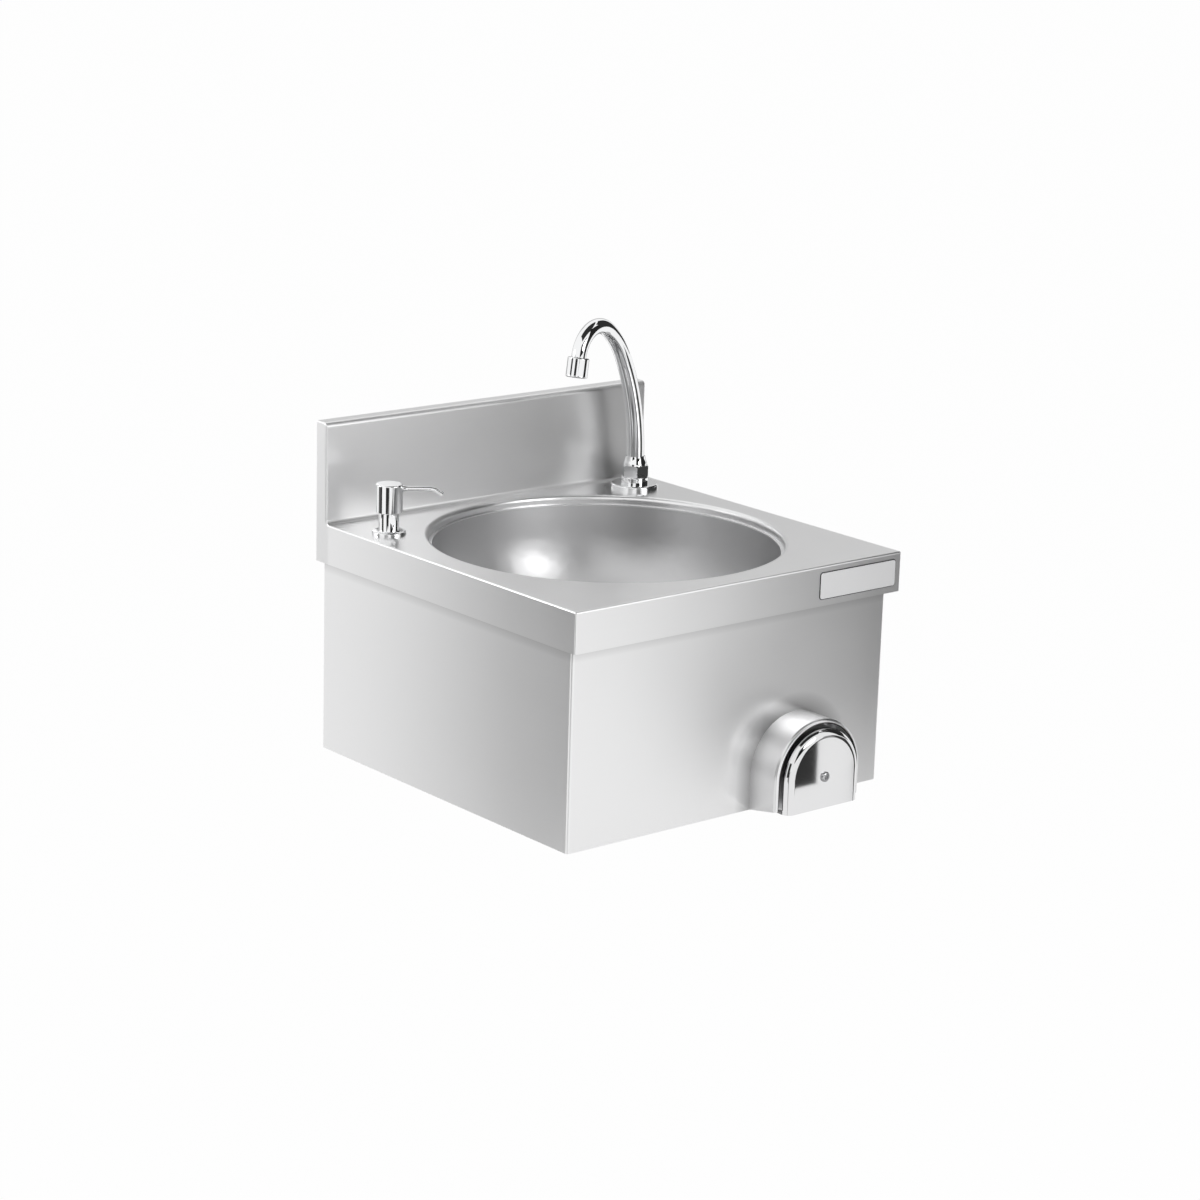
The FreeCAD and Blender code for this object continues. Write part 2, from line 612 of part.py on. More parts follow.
def check_valve(x):
    """Non-return valve screwed in from below, with a seat and a male inlet thread."""
    y = VALVE_IN_Y
    top = KNEE_Z - 20
    body = nut(24.0, 6.4, (x, y, top - 12), (x, y, top))
    spigot = tube(8.0, 6.4, (x, y, top), (x, y, top + 8))
    seat = tube(7.0, 4.5, (x, y, top - 12), (x, y, top - 10))
    thread = tube(INLET_THREAD_R, 6.0, (x, y, top - 12 - INLET_L), (x, y, top - 12))
    return body.fuse([spigot, seat, thread]).removeSplitter()


def check_disc(x):
    """Plastic disc that closes a non-return valve, with its guide stem."""
    body = turned([(0, 0), (5.8, 0), (5.8, 2), (1.6, 4), (1.6, 12), (0, 12)])
    return body.translated(Vector(x, VALVE_IN_Y, KNEE_Z - 30))


def mixer_cartridge():
    """Brass bonnet screwed into the mixing valve's left end."""
    left = MIXER_X[0]
    y = VALVE_IN_Y
    stem = tube(8.0, 4.0 + RUNNING, (left, y, KNEE_Z), (left + 12, y, KNEE_Z))
    head = nut(24.0, 4.0 + RUNNING, (left - 6, y, KNEE_Z), (left, y, KNEE_Z))
    return stem.fuse(head).removeSplitter()


def mixer_spindle():
    """Spindle that the knob turns, with the mixing sleeve at its inner end."""
    left, right = MIXER_X
    y = VALVE_IN_Y
    shaft = rod(4.0, (left - 17, y, KNEE_Z), (left + 14, y, KNEE_Z))
    sleeve = tube(10.0 - RUNNING, 7.5, (left + 13.0, y, KNEE_Z), (right - 10, y, KNEE_Z))
    disc = rod(10.0 - RUNNING, (left + 13.0, y, KNEE_Z), (left + 16, y, KNEE_Z))
    body = shaft.fuse([sleeve, disc])
    windows = [rod(5.0, (x, y, KNEE_Z), (x, y, KNEE_Z - 12)) for x in CHECK_X]
    return body.cut(windows).removeSplitter()


def mixer_knob():
    """Temperature knob with finger flutes."""
    width, radius, flutes = 16.0, 16.0, 8
    body = turned([(4.0, width), (4.0, width - 10), (0, width - 10), (0, 0), (radius - 1.5, 0),
                   (radius, 1.5), (radius, width - 1.5), (radius - 1.5, width)])
    for k in range(flutes):
        a = 2 * pi * k / flutes
        x, y = (radius + 2) * cos(a), (radius + 2) * sin(a)
        body = body.cut(rod(4.0, (x, y, -1), (x, y, width + 1)))
    body.rotate(Vector(), Vector(0, 1, 0), 90)
    return body.translated(Vector(MIXER_X[0] - 7 - width, VALVE_IN_Y, KNEE_Z))


def mixer_bracket():
    """Strap that carries the mixing valve from the back of the skirt's front."""
    y = VALVE_IN_Y
    x0, x1 = -22.5, -9.5
    strap = tube(VALVE_R + 2, VALVE_R, (x0, y, KNEE_Z), (x1, y, KNEE_Z))
    arm = block(x0, x1, SKIRT_BACK_FACE, y, KNEE_Z + VALVE_R, KNEE_Z + VALVE_R + 2)
    arm = arm.cut(rod(VALVE_R + 1, (x0 - 1, y, KNEE_Z), (x1 + 1, y, KNEE_Z)))
    foot = block(x0, x1, SKIRT_BACK_FACE, SKIRT_BACK_FACE + 2, KNEE_Z + VALVE_R - 26,
                 KNEE_Z + VALVE_R + 2)
    return strap.fuse([arm, foot]).removeSplitter()


def link_pipe():
    """Short flanged pipe from the mixing valve to the knee valve."""
    x0, x1 = MIXER_X[1] + 6, KNEE_X - 30
    y = VALVE_IN_Y
    body = rod(HOSE_R, (x0, y, KNEE_Z), (x1, y, KNEE_Z))
    flanges = [rod(PORT_R, (x0, y, KNEE_Z), (x0 + 1.5, y, KNEE_Z)),
               rod(PORT_R, (x1 - 1.5, y, KNEE_Z), (x1, y, KNEE_Z))]
    bore = rod(5.0, (x0 - 1, y, KNEE_Z), (x1 + 1, y, KNEE_Z))
    return body.fuse(flanges).cut(bore).removeSplitter()


def union_nut(foot, inward):
    """Union nut: foot is the sealing face between port and pipe, inward points to the port."""
    start = Vector(*foot)
    way = Vector(*inward)
    port_end = start + way * 6
    pipe_end = start - way * 5.5
    body = nut(21.0, HOSE_R + 0.1, tuple(pipe_end), tuple(port_end))
    return body.cut(rod(PORT_R, tuple(start - way * 1.5), tuple(port_end + way)))


def link_nuts():
    """Union nuts at both ends of the link pipe."""
    y = VALVE_IN_Y
    return Part.makeCompound([union_nut((MIXER_X[1] + 6, y, KNEE_Z), (-1, 0, 0)),
                              union_nut((KNEE_X - 30, y, KNEE_Z), (1, 0, 0))])


def bent_path(points, radii):
    """Wire of straight runs joined by tangent arcs at the inner points."""
    corners = [Vector(*p) for p in points]
    edges = []
    here = corners[0]
    for before, corner, after, radius in zip(corners, corners[1:], corners[2:], radii):
        into = (corner - before).normalize()
        out = (after - corner).normalize()
        angle = into.getAngle(out)
        back = radius * sin(angle / 2) / cos(angle / 2)
        first = corner - into * back
        last = corner + out * back
        towards = (out - into).normalize()
        centre = corner + towards * (radius / cos(angle / 2))
        edges.append(Part.LineSegment(here, first).toShape())
        edges.append(Part.Arc(first, centre - towards * radius, last).toShape())
        here = last
    edges.append(Part.LineSegment(here, corners[-1]).toShape())
    return Part.Wire(edges)


def sweep_round(wire, radius, start, direction):
    """Round bar along a wire."""
    ring = Part.Wire(Part.makeCircle(radius, start, direction))
    return wire.makePipeShell([ring], True, False)


def spout_hose():
    """Braided hose from the knee valve along the right side and up to the spout's shank."""
    wire = bent_path(HOSE_ROUTE, HOSE_RADII)
    start = Vector(*HOSE_ROUTE[0])
    outer = sweep_round(wire, HOSE_R, start, Vector(1, 0, 0))
    inner = sweep_round(wire, HOSE_BORE_R, start, Vector(1, 0, 0))
    hose = outer.cut(inner)
    section = pi * (HOSE_R ** 2 - HOSE_BORE_R ** 2)
    print("spout hose length %.0f mm, volume error %.2f %%"
          % (wire.Length, 100 * (hose.Volume / (section * wire.Length) - 1)))
    x, y, z = HOSE_ROUTE[0]
    low = tube(PORT_R, HOSE_BORE_R, (x, y, z), (x + 1.5, y, z))
    x, y, z = HOSE_ROUTE[-1]
    high = tube(PORT_R, HOSE_BORE_R, (x, y, z - 1.5), (x, y, z))
    return hose.fuse([low, high]).removeSplitter()


def hose_nuts():
    """Union nuts at both ends of the spout hose."""
    return Part.makeCompound([union_nut(HOSE_ROUTE[0], (-1, 0, 0)),
                              union_nut(HOSE_ROUTE[-1], (0, 0, 1))])


# ---------------------------------------------------------------- swivel spout
def at_tap(shape):
    """Moves a shape drawn about the Z axis to the spout's place."""
    return shape.translated(Vector(TAP_X, TAP_Y, 0))


def spout_base():
    """Round cover plate on the deck under the spout, hollow below for its gasket."""
    return at_tap(turned([(10.5, 0.8), (18.0, 0.8), (18.0, 0), (24.0, 0), (24.0, 3.2),
                          ((23.3, 4.6), (21.6, 5.0)), (10.5, 5.0)]))


def base_gasket():
    """Rubber ring that seals the cover plate to the deck."""
    return at_tap(turned([(11.2, 0), (17.8, 0), (17.8, 0.8), (11.2, 0.8)]))


def spout_shank():
    """Hollow threaded shank through the deck, with the collar that shows above the plate."""
    return at_tap(turned([
        (6.0, SHANK_FOOT), (PORT_R, SHANK_FOOT), (PORT_R, -48.0), (10.4, -46.0), (10.4, 5.0),
        (14.0, 5.0), (14.0, 10.8), ((13.65, 11.65), (12.8, 12.0)), (12.0, 12.0), (12.0, 20.0),
        (TUBE_R + RUNNING, 20.0), (TUBE_R + RUNNING, 7.0), (6.0, 7.0)]))


def spout_nut():
    """Hexagonal retaining nut with a cone that leads up to the tube."""
    hexes = nut(25.0, 12.0, (0, 0, 12.0), (0, 0, 24.0))
    cone = turned([(12.0, 20.0), (12.3, 20.0), (12.3, 24.0), (12.0, 26.0), ((10.9, 29.6), (10.2, 33.0)),
                   (TUBE_R + RUNNING, 33.0), (TUBE_R + RUNNING, 22.6), (11.6, 22.6), (11.6, 20.0)])
    return at_tap(hexes.fuse(cone).removeSplitter())


def retaining_ring():
    """Split ring in the tube's groove, trapped under the nut."""
    ring = turned([(8.0, 20.6), (11.2, 20.6), (11.2, 22.0), (8.0, 22.0)])
    return at_tap(ring.cut(block(0, 20, -1.5, 1.5, 19, 25)))


def spout_orings():
    """Two rubber rings in the tube's lower grooves."""
    return Part.makeCompound([ring_about(8.15, 0.86, (TAP_X, TAP_Y, z)) for z in (11.7, 16.1)])


def spout_washer():
    """Rubber washer below the deck."""
    return at_tap(turned([(10.6, -4.2), (18.0, -4.2), (18.0, UNDERSIDE), (10.6, UNDERSIDE)]))


def spout_locknut():
    """Nut that pulls the shank down on the deck."""
    return at_tap(nut(30.0, 10.4, (0, 0, -10.2), (0, 0, -4.2)))


def spout_stations(count):
    """Points and headings along the leaning riser and the hook, in the spout's own plane."""
    stations = []
    reach, height, lean = 0.0, SPOUT_RISE, 0.0
    total = sum(radius * radians(turn) for radius, turn in SPOUT_ARCS)
    for radius, turn in SPOUT_ARCS:
        steps = max(2, round(count * radius * radians(turn) / total))
        centre = (reach + radius * cos(lean), height - radius * sin(lean))
        for k in range(steps):
            a = lean + radians(turn) * k / steps
            stations.append((centre[0] - radius * cos(a), centre[1] + radius * sin(a), a))
        lean += radians(turn)
        reach = centre[0] - radius * cos(lean)
        height = centre[1] + radius * sin(lean)
    stations.append((reach, height, lean))
    return stations


def spout_loft(foot_r, tip_r):
    """Tapered bar through circles set square to the spout's centre line."""
    stations = spout_stations(16)
    rings = []
    for k, (reach, height, lean) in enumerate(stations):
        share = k / (len(stations) - 1)
        radius = foot_r + (tip_r - foot_r) * share
        axis = Vector(sin(lean), 0, cos(lean))
        rings.append(Part.Wire(Part.makeCircle(radius, Vector(reach, 0, height), axis)))
    return Part.makeLoft(rings, True, False)


def at_spout(shape):
    """Turns a shape drawn in the XZ plane to the spout's direction and moves it to the tap."""
    shape.rotate(Vector(), Vector(0, 0, 1), 180 + SPOUT_TURN)
    return at_tap(shape)


def gooseneck_spout():
    """Tapered gooseneck tube: a straight foot with grooves, a leaning riser and a hook."""
    foot = turned([
        (TUBE_BORE_R, 8.0), (TUBE_R, 8.0), (TUBE_R, 10.6), (7.29, 10.6), (7.29, 12.8),
        (TUBE_R, 12.8), (TUBE_R, 15.0), (7.29, 15.0), (7.29, 17.2), (TUBE_R, 17.2),
        (TUBE_R, 20.6), (8.0, 20.6), (8.0, 22.0), (TUBE_R, 22.0), (TUBE_R, SPOUT_RISE),
        (TUBE_BORE_R, SPOUT_RISE)])
    bend = spout_loft(TUBE_R, TUBE_TIP_R).cut(
        spout_loft(TUBE_BORE_R, TIP_BORE_R))
    return at_spout(foot.fuse(bend))


def at_tip(shape):
    """Places a shape drawn down the -Z axis from the origin at the spout's tip."""
    reach, height, lean = spout_stations(16)[-1]
    shape.rotate(Vector(), Vector(0, 1, 0), degrees(lean) - 180)
    shape.translate(Vector(reach, 0, height))
    return at_spout(shape)


def aerator_housing():
    """Sleeve screwed to the spout's tip that holds the aerator."""
    outer, inner, low = AERATOR_R, AERATOR_R - 2.0, -AERATOR_L
    return at_tip(turned([(TIP_BORE_R, 0), (outer - 1.2, 0), ((outer - 0.4, -0.4), (outer, -1.2)),
                          (outer, low + 2.0), ((outer - 0.2, low + 0.6), (outer - 1.2, low)),
                          (inner, low), (inner, -1.5), (TIP_BORE_R, -1.5)]))


def aerator_insert():
    """Plastic aerator cartridge with a ring of outlet holes."""
    outer, low = AERATOR_R - 2.0, 1.0 - AERATOR_L
    body = turned([(0, low), (outer, low), (outer, -1.5), (6.6, -1.5), (6.6, low + 3), (0, low + 3)])
    holes = [rod(0.9, (4.2 * cos(k * pi / 4), 4.2 * sin(k * pi / 4), low - 1),
                 (4.2 * cos(k * pi / 4), 4.2 * sin(k * pi / 4), low + 4)) for k in range(8)]
    return at_tip(body.cut(holes))


# ---------------------------------------------------------------- soap dispenser
def at_soap(shape):
    """Moves a shape drawn about the Z axis to the soap dispenser's place."""
    return shape.translated(Vector(SOAP_X, SOAP_Y, 0))


def soap_collar():
    """Flange and neck on the deck, with the threaded shank that carries the bottle."""
    return at_soap(turned([
        (9.0, SOAP_SHANK_FOOT), (11.5, SOAP_SHANK_FOOT), (11.5, 0), (16.5, 0), (16.5, 1.6),
        ((16.0, 2.6), (14.8, 3.0)),
        (SOAP_NECK_R, 3.4), (SOAP_NECK_R, 26.0), (6.5, 26.0), (6.5, 10.0), (9.0, 10.0)]))


def soap_ring_nut():
    """Plastic nut below the deck with grip ribs."""
    body = turned([(11.5, -11.0), (17.5, -11.0), (17.5, -8.0), (16.0, UNDERSIDE), (11.5, UNDERSIDE)])
    ribs = [rod(1.2, (17.3 * cos(k * pi / 6), 17.3 * sin(k * pi / 6), -11),
                (17.3 * cos(k * pi / 6), 17.3 * sin(k * pi / 6), -8.5)) for k in range(12)]
    return at_soap(body.cut(ribs))


def soap_bottle():
    """Blow-moulded bottle screwed on the shank, with a necked shoulder."""
    top = BOTTLE_TOP
    low = top - BOTTLE_L
    wall = 1.5
    shoulder = top - 20.0
    inner = BOTTLE_R - wall
    return at_soap(turned([
        (11.5, top), (13.0, top), (13.0, top - 12), (15.0, top - 15),
        ((18.2, shoulder + 1.2), (BOTTLE_R, shoulder - 4)),
        (BOTTLE_R, low + 5), ((BOTTLE_R - 1.5, low + 1.5), (BOTTLE_R - 5, low)), (0, low),
        (0, low + wall), (inner - 4, low + wall),
        ((inner - 1.2, low + wall + 1.2), (inner, low + wall + 4)),
        (inner, shoulder - 5), ((16.6, shoulder - 1.2), (13.6, top - 17)), (11.5, top - 15)]))


def pump_cylinder():
    """Plastic pump barrel that hangs in the shank."""
    return at_soap(turned([
        (3.2, -70.0), (4.5, -70.0), (4.5, -62.0), (8.0, -58.0), (8.0, 4.0), (9.0, 4.0), (9.0, 10.0),
        (3.85, 10.0), (3.85, 7.0), (6.55, 7.0), (6.55, -56.0), (2.2, -56.0), (2.2, -65.0),
        (3.2, -65.0)]))


def dip_tube():
    """Tube from the pump down to the floor of the bottle."""
    low = BOTTLE_TOP - BOTTLE_L + 3.0
    return at_soap(turned([(2.2, low), (3.2, low), (3.2, -65.0), (2.2, -65.0)]))


def pump_stem():
    """Hollow stem with the piston at its foot; it slides in the pump barrel."""
    return at_soap(turned([
        (1.5, -26.0), (6.5, -26.0), (6.5, -20.0), (STEM_R, -19.0), (STEM_R, STEM_TOP), (1.5, STEM_TOP)]))


def pump_spring():
    """Spring that lifts the piston, drawn as its sleeve."""
    return at_soap(tube(5.6, 4.4, (0, 0, -56.0), (0, 0, -26.0)))


def soap_aim(shape):
    """Turns a shape drawn towards +X to point at the middle of the bowl, at the dispenser."""
    shape.rotate(Vector(), Vector(0, 0, 1), degrees(atan2(BOWL_Y - SOAP_Y, -SOAP_X)))
    return at_soap(shape)


def pump_head():
    """Chromed button that is pressed for soap; it slides down over the neck."""
    bore = SOAP_NECK_R + GAP
    stem = STEM_R + RUNNING
    body = turned([
        (bore, HEAD_FOOT), (12.4, HEAD_FOOT), (HEAD_R, HEAD_FOOT + 0.6), (HEAD_R, HEAD_TOP - 1.8),
        ((HEAD_R - 0.5, HEAD_TOP - 0.6), (HEAD_R - 1.8, HEAD_TOP - 0.1)), (0, HEAD_TOP),
        (0, STEM_TOP), (stem, STEM_TOP), (stem, 29.0), (5.6, 29.0), (5.6, 42.0), (bore, 42.0)])
    return soap_aim(body.cut(rod(NOZZLE_R, (8.0, 0, NOZZLE_Z), (HEAD_R + 1, 0, NOZZLE_Z))))


def soap_nozzle():
    """Thin tube that leaves the head near its top through a small cone and bends down."""
    drop = (NOZZLE_REACH, 0, NOZZLE_Z - 5.0)
    wire = bent_path([(8.0, 0, NOZZLE_Z), (NOZZLE_REACH - 8.0, 0, NOZZLE_Z), drop], (18.0,))
    start = Vector(8.0, 0, NOZZLE_Z)
    outer = sweep_round(wire, NOZZLE_R, start, Vector(1, 0, 0))
    inner = sweep_round(wire, NOZZLE_R - 0.8, start, Vector(1, 0, 0))
    cone = turned([(NOZZLE_R - 0.4, 0), (4.0, 0), ((3.0, 2.6), (NOZZLE_R + 0.2, 6.0)),
                   (NOZZLE_R - 0.4, 6.0)])
    cone.rotate(Vector(), Vector(0, 1, 0), 90)
    cone.translate(Vector(HEAD_R - 1.5, 0, NOZZLE_Z))
    cone = cone.cut(rod(HEAD_R, (0, 0, HEAD_FOOT), (0, 0, HEAD_TOP)))
    return soap_aim(outer.fuse(cone).cut(inner).removeSplitter())


# ---------------------------------------------------------------- waste
def at_waste(shape):
    """Moves a shape drawn about the Z axis to the middle of the bowl."""
    return shape.translated(Vector(0, BOWL_Y, 0))


SEAT_Z = -BOWL_DEPTH - RECESS_DEPTH             # floor of the bowl's recess


def waste_grating():
    """Perforated strainer flange that sits in the bowl's recess."""
    seat = SEAT_Z + 1.0
    body = turned([(0, seat + 0.6), (18.0, seat + 0.6), (20.0, seat), (32.0, seat), (32.0, seat + 0.8),
                   ((31.3, seat + 1.8), (29.5, seat + 2.2)), (22.0, seat + 2.0), (19.0, seat + 1.8),
                   (0, seat + 1.8)])
    holes = [rod(3.5, (0, 0, seat + 2.2), (0, 0, seat + 3))]
    for radius, count in ((7.5, 6), (14.0, 12)):
        for k in range(count):
            a = 2 * pi * k / count
            x, y = radius * cos(a), radius * sin(a)
            holes.append(rod(2.0, (x, y, seat - 1), (x, y, seat + 4)))
    holes.append(rod(3.1, (0, 0, seat - 1), (0, 0, seat + 4)))
    return at_waste(body.cut(holes))


def waste_screw():
    """Screw through the grating into the waste body's bridge."""
    seat = SEAT_Z + 1.0
    body = turned([(0, seat - 22.0), (3.0, seat - 22.0), (3.0, seat + 1.8), (5.5, seat + 1.8),
                   ((4.6, seat + 3.0), (2.5, seat + 3.4)), (0, seat + 3.4)])
    return at_waste(body.cut(block(-6, 6, -0.6, 0.6, seat + 2.4, seat + 5)))


def waste_top_gasket():
    """Rubber ring between grating flange and recess."""
    return at_waste(turned([(23.5, SEAT_Z), (31.0, SEAT_Z), (31.0, SEAT_Z + 1), (23.5, SEAT_Z + 1)]))


def waste_gasket():
    """Thick rubber ring between the bowl's floor and the waste body."""
    top = SEAT_Z - BOWL_T
    return at_waste(turned([(22.5, top - 4), (32.0, top - 4), (32.0, top), (22.5, top)]))


def waste_body():
    """Waste outlet: cup under the bowl, bridge for the screw, and a threaded tail."""
    top = SEAT_Z - BOWL_T - 4
    cup = turned([
        (17.0, top - 60), (WASTE_THREAD_R, top - 60), (WASTE_THREAD_R, top - 18), (24.0, top - 15),
        ((31.0, top - 12), (33.0, top - 5)), (33.0, top), (29.5, top), (29.5, top - 5),
        ((28.0, top - 10), (22.0, top - 13)), (17.0, top - 16)])
    bridge = block(-24.0, 24.0, -3.0, 3.0, top - 18, top - 11)
    boss = rod(6.0, (0, 0, top - 18), (0, 0, top - 9))
    trim = rod(25.0, (0, 0, top - 19), (0, 0, top - 8))
    body = cup.fuse([bridge.common(trim), boss]).cut(rod(3.0, (0, 0, top - 19), (0, 0, top)))
    return at_waste(body.removeSplitter())


# ---------------------------------------------------------------- the object
SUBPARTS = {
    "deck_pan": deck_pan,
    "bowl": bowl,
    "skirt_panel": skirt_panel,
    "skirt_screws": skirt_screws,
    "skirt_nuts": skirt_nuts,
    "hanging_rail": hanging_rail,
    "knee_collar": knee_collar,
    "collar_screws": collar_screws,
    "collar_nuts": collar_nuts,
    "knee_pusher": knee_pusher,
    "pusher_screw": pusher_screw,
    "push_rod": push_rod,
    "valve_body": valve_body,
    "valve_locknut": valve_locknut,
    "rod_seal": rod_seal,
    "valve_poppet": valve_poppet,
    "poppet_washer": poppet_washer,
    "valve_spring": valve_spring,
    "valve_cap": valve_cap,
    "mixer_body": mixer_body,
    "hot_check_valve": lambda: check_valve(CHECK_X[0]),
    "cold_check_valve": lambda: check_valve(CHECK_X[1]),
    "hot_check_disc": lambda: check_disc(CHECK_X[0]),
    "cold_check_disc": lambda: check_disc(CHECK_X[1]),
    "mixer_cartridge": mixer_cartridge,
    "mixer_spindle": mixer_spindle,
    "mixer_knob": mixer_knob,
    "mixer_bracket": mixer_bracket,
    "link_pipe": link_pipe,
    "link_nuts": link_nuts,
    "spout_hose": spout_hose,
    "hose_nuts": hose_nuts,
    "spout_base": spout_base,
    "base_gasket": base_gasket,
    "spout_shank": spout_shank,
    "spout_nut": spout_nut,
    "retaining_ring": retaining_ring,
    "spout_orings": spout_orings,
    "spout_washer": spout_washer,
    "spout_locknut": spout_locknut,
    "gooseneck_spout": gooseneck_spout,
    "aerator_housing": aerator_housing,
    "aerator_insert": aerator_insert,
    "soap_collar": soap_collar,
    "soap_ring_nut": soap_ring_nut,
    "soap_bottle": soap_bottle,
    "pump_cylinder": pump_cylinder,
    "dip_tube": dip_tube,
    "pump_stem": pump_stem,
    "pump_spring": pump_spring,
    "pump_head": pump_head,
    "soap_nozzle": soap_nozzle,
    "waste_grating": waste_grating,
    "waste_screw": waste_screw,
    "waste_top_gasket": waste_top_gasket,
    "waste_gasket": waste_gasket,
    "waste_body": waste_body,
}

for node, build in SUBPARTS.items():
    save(node, build())
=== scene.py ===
"""Looks of a wall-hung, knee-operated hand wash basin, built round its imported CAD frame.

Lengths are in millimetres in the dataclass fields and in metres in the scene.  Heights are
counted from the top of the deck, as in the part's source; `row` moves them to the frame.
"""
import json
import logging
from dataclasses import dataclass, field
from enum import Enum
from math import atan2, cos, degrees, pi, radians, sin

import bmesh
import bpy
from mathutils import Matrix, Vector

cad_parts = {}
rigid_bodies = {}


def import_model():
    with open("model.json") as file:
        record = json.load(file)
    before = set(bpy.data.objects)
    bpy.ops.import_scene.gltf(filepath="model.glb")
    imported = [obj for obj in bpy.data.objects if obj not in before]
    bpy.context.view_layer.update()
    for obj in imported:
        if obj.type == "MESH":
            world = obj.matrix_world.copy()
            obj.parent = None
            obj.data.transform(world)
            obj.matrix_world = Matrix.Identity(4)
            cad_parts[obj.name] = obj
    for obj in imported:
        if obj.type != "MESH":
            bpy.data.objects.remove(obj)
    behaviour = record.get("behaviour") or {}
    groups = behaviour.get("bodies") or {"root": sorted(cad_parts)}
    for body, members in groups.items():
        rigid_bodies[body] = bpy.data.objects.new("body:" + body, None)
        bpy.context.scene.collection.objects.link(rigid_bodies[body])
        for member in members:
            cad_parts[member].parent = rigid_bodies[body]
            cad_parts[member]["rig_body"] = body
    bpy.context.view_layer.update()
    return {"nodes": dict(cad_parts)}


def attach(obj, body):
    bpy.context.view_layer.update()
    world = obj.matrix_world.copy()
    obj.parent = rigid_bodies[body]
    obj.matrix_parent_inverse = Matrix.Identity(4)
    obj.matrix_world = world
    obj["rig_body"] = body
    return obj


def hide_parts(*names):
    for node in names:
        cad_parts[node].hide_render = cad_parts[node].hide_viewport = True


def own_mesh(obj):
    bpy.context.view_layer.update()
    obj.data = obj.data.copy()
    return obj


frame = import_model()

LOG = logging.getLogger("basin")
MM = 0.001
DECK_TOP = -50.0            # height of the deck's top in the frame, mm
BASIN = "basin"
RIDGE = 0.42                # half width of a thread's ridge, as a share of its pitch


def row(x: float, y: float, z: float) -> Vector:
    """Point in the frame, in metres, from millimetres with z from the deck's top."""
    return Vector((x * MM, y * MM, (z + DECK_TOP) * MM))


# ---------------------------------------------------------------- shader and mesh helpers
class Shader:
    """A small wrapper that adds and links nodes of one material or world."""

    def __init__(self, owner: bpy.types.ID) -> None:
        """Clears the owner's node tree.

        Args:
            owner: the material or world whose nodes are written.
        """
        owner.use_nodes = True
        self.tree = owner.node_tree
        self.tree.nodes.clear()

    def add(self, kind: str, **settings: object) -> bpy.types.Node:
        """Adds a node.

        Args:
            kind: the node's class name.
            settings: attributes of the node, set before its sockets are used.

        Returns:
            The new node.
        """
        node = self.tree.nodes.new(kind)
        for name, value in settings.items():
            setattr(node, name, value)
        return node

    def link(self, source: bpy.types.NodeSocket, target: bpy.types.NodeSocket) -> None:
        """Links two sockets."""
        self.tree.links.new(source, target)

    def math(self, operation: str, a: object, b: object = 0.0) -> bpy.types.NodeSocket:
        """One sum of two values or sockets.

        Args:
            operation: the Math node's operation.
            a: first value or socket.
            b: second value or socket.

        Returns:
            The socket with the result.
        """
        node = self.add("ShaderNodeMath", operation=operation)
        for socket, value in zip(node.inputs, (a, b)):
            if isinstance(value, bpy.types.NodeSocket):
                self.link(value, socket)
            else:
                socket.default_value = value
        return node.outputs[0]

    def noise(self, scale: Vector, detail: float, rough: float = 0.5,
              by_normal: bool = False) -> bpy.types.NodeSocket:
        """Noise on Object coordinates, with its own scale along each axis.

        Args:
            scale: waves per metre along x, y and z.
            detail: octaves of the noise.
            rough: strength of the finer octaves.
            by_normal: on faces that look up or down, y takes the scale of z.

        Returns:
            The noise, from 0 to 1.
        """
        place = self.add("ShaderNodeTexCoord").outputs["Object"]
        stretch = self.add("ShaderNodeVectorMath", operation="MULTIPLY")
        self.link(place, stretch.inputs[0])
        if by_normal:
            level = self.add("ShaderNodeSeparateXYZ")
            self.link(self.add("ShaderNodeNewGeometry").outputs["Normal"], level.inputs[0])
            lies = self.math("GREATER_THAN", self.math("ABSOLUTE", level.outputs["Z"]), 0.7)
            pick = self.add("ShaderNodeMix", data_type="VECTOR")
            self.link(lies, pick.inputs["Factor"])
            pick.inputs[4].default_value = scale
            pick.inputs[5].default_value = (scale[0], scale[2], scale[1])
            self.link(pick.outputs[1], stretch.inputs[1])
        else:
            stretch.inputs[1].default_value = scale
        wave = self.add("ShaderNodeTexNoise")
        wave.inputs["Scale"].default_value = 1.0
        wave.inputs["Detail"].default_value = detail
        wave.inputs["Roughness"].default_value = rough
        self.link(stretch.outputs[0], wave.inputs["Vector"])
        return wave.outputs["Fac"]

    def spread(self, value: bpy.types.NodeSocket, low: float, high: float,
               start: float = 0.0, end: float = 1.0) -> bpy.types.NodeSocket:
        """Maps a value from start..end to low..high.

        Args:
            value: the socket to map.
            low: result at start.
            high: result at end.
            start: value that gives low.
            end: value that gives high.

        Returns:
            The mapped socket.
        """
        node = self.add("ShaderNodeMapRange")
        self.link(value, node.inputs["Value"])
        for name, number in (("From Min", start), ("From Max", end), ("To Min", low),
                             ("To Max", high)):
            node.inputs[name].default_value = number
        return node.outputs[0]

    def tint(self, value: bpy.types.NodeSocket, dark: tuple,
             light: tuple) -> bpy.types.NodeSocket:
        """Colour between dark and light by a value from 0 to 1."""
        ramp = self.add("ShaderNodeValToRGB")
        ramp.color_ramp.elements[0].color = (*dark, 1.0)
        ramp.color_ramp.elements[1].color = (*light, 1.0)
        self.link(value, ramp.inputs[0])
        return ramp.outputs[0]

    def seen(self) -> bpy.types.NodeSocket:
        """1 for a ray from the camera, a mirror or glass, and 0 for one that only lights."""
        path = self.add("ShaderNodeLightPath")
        direct = self.math("MAXIMUM", path.outputs["Is Camera Ray"],
                           path.outputs["Is Glossy Ray"])
        return self.math("MAXIMUM", direct, path.outputs["Is Transmission Ray"])


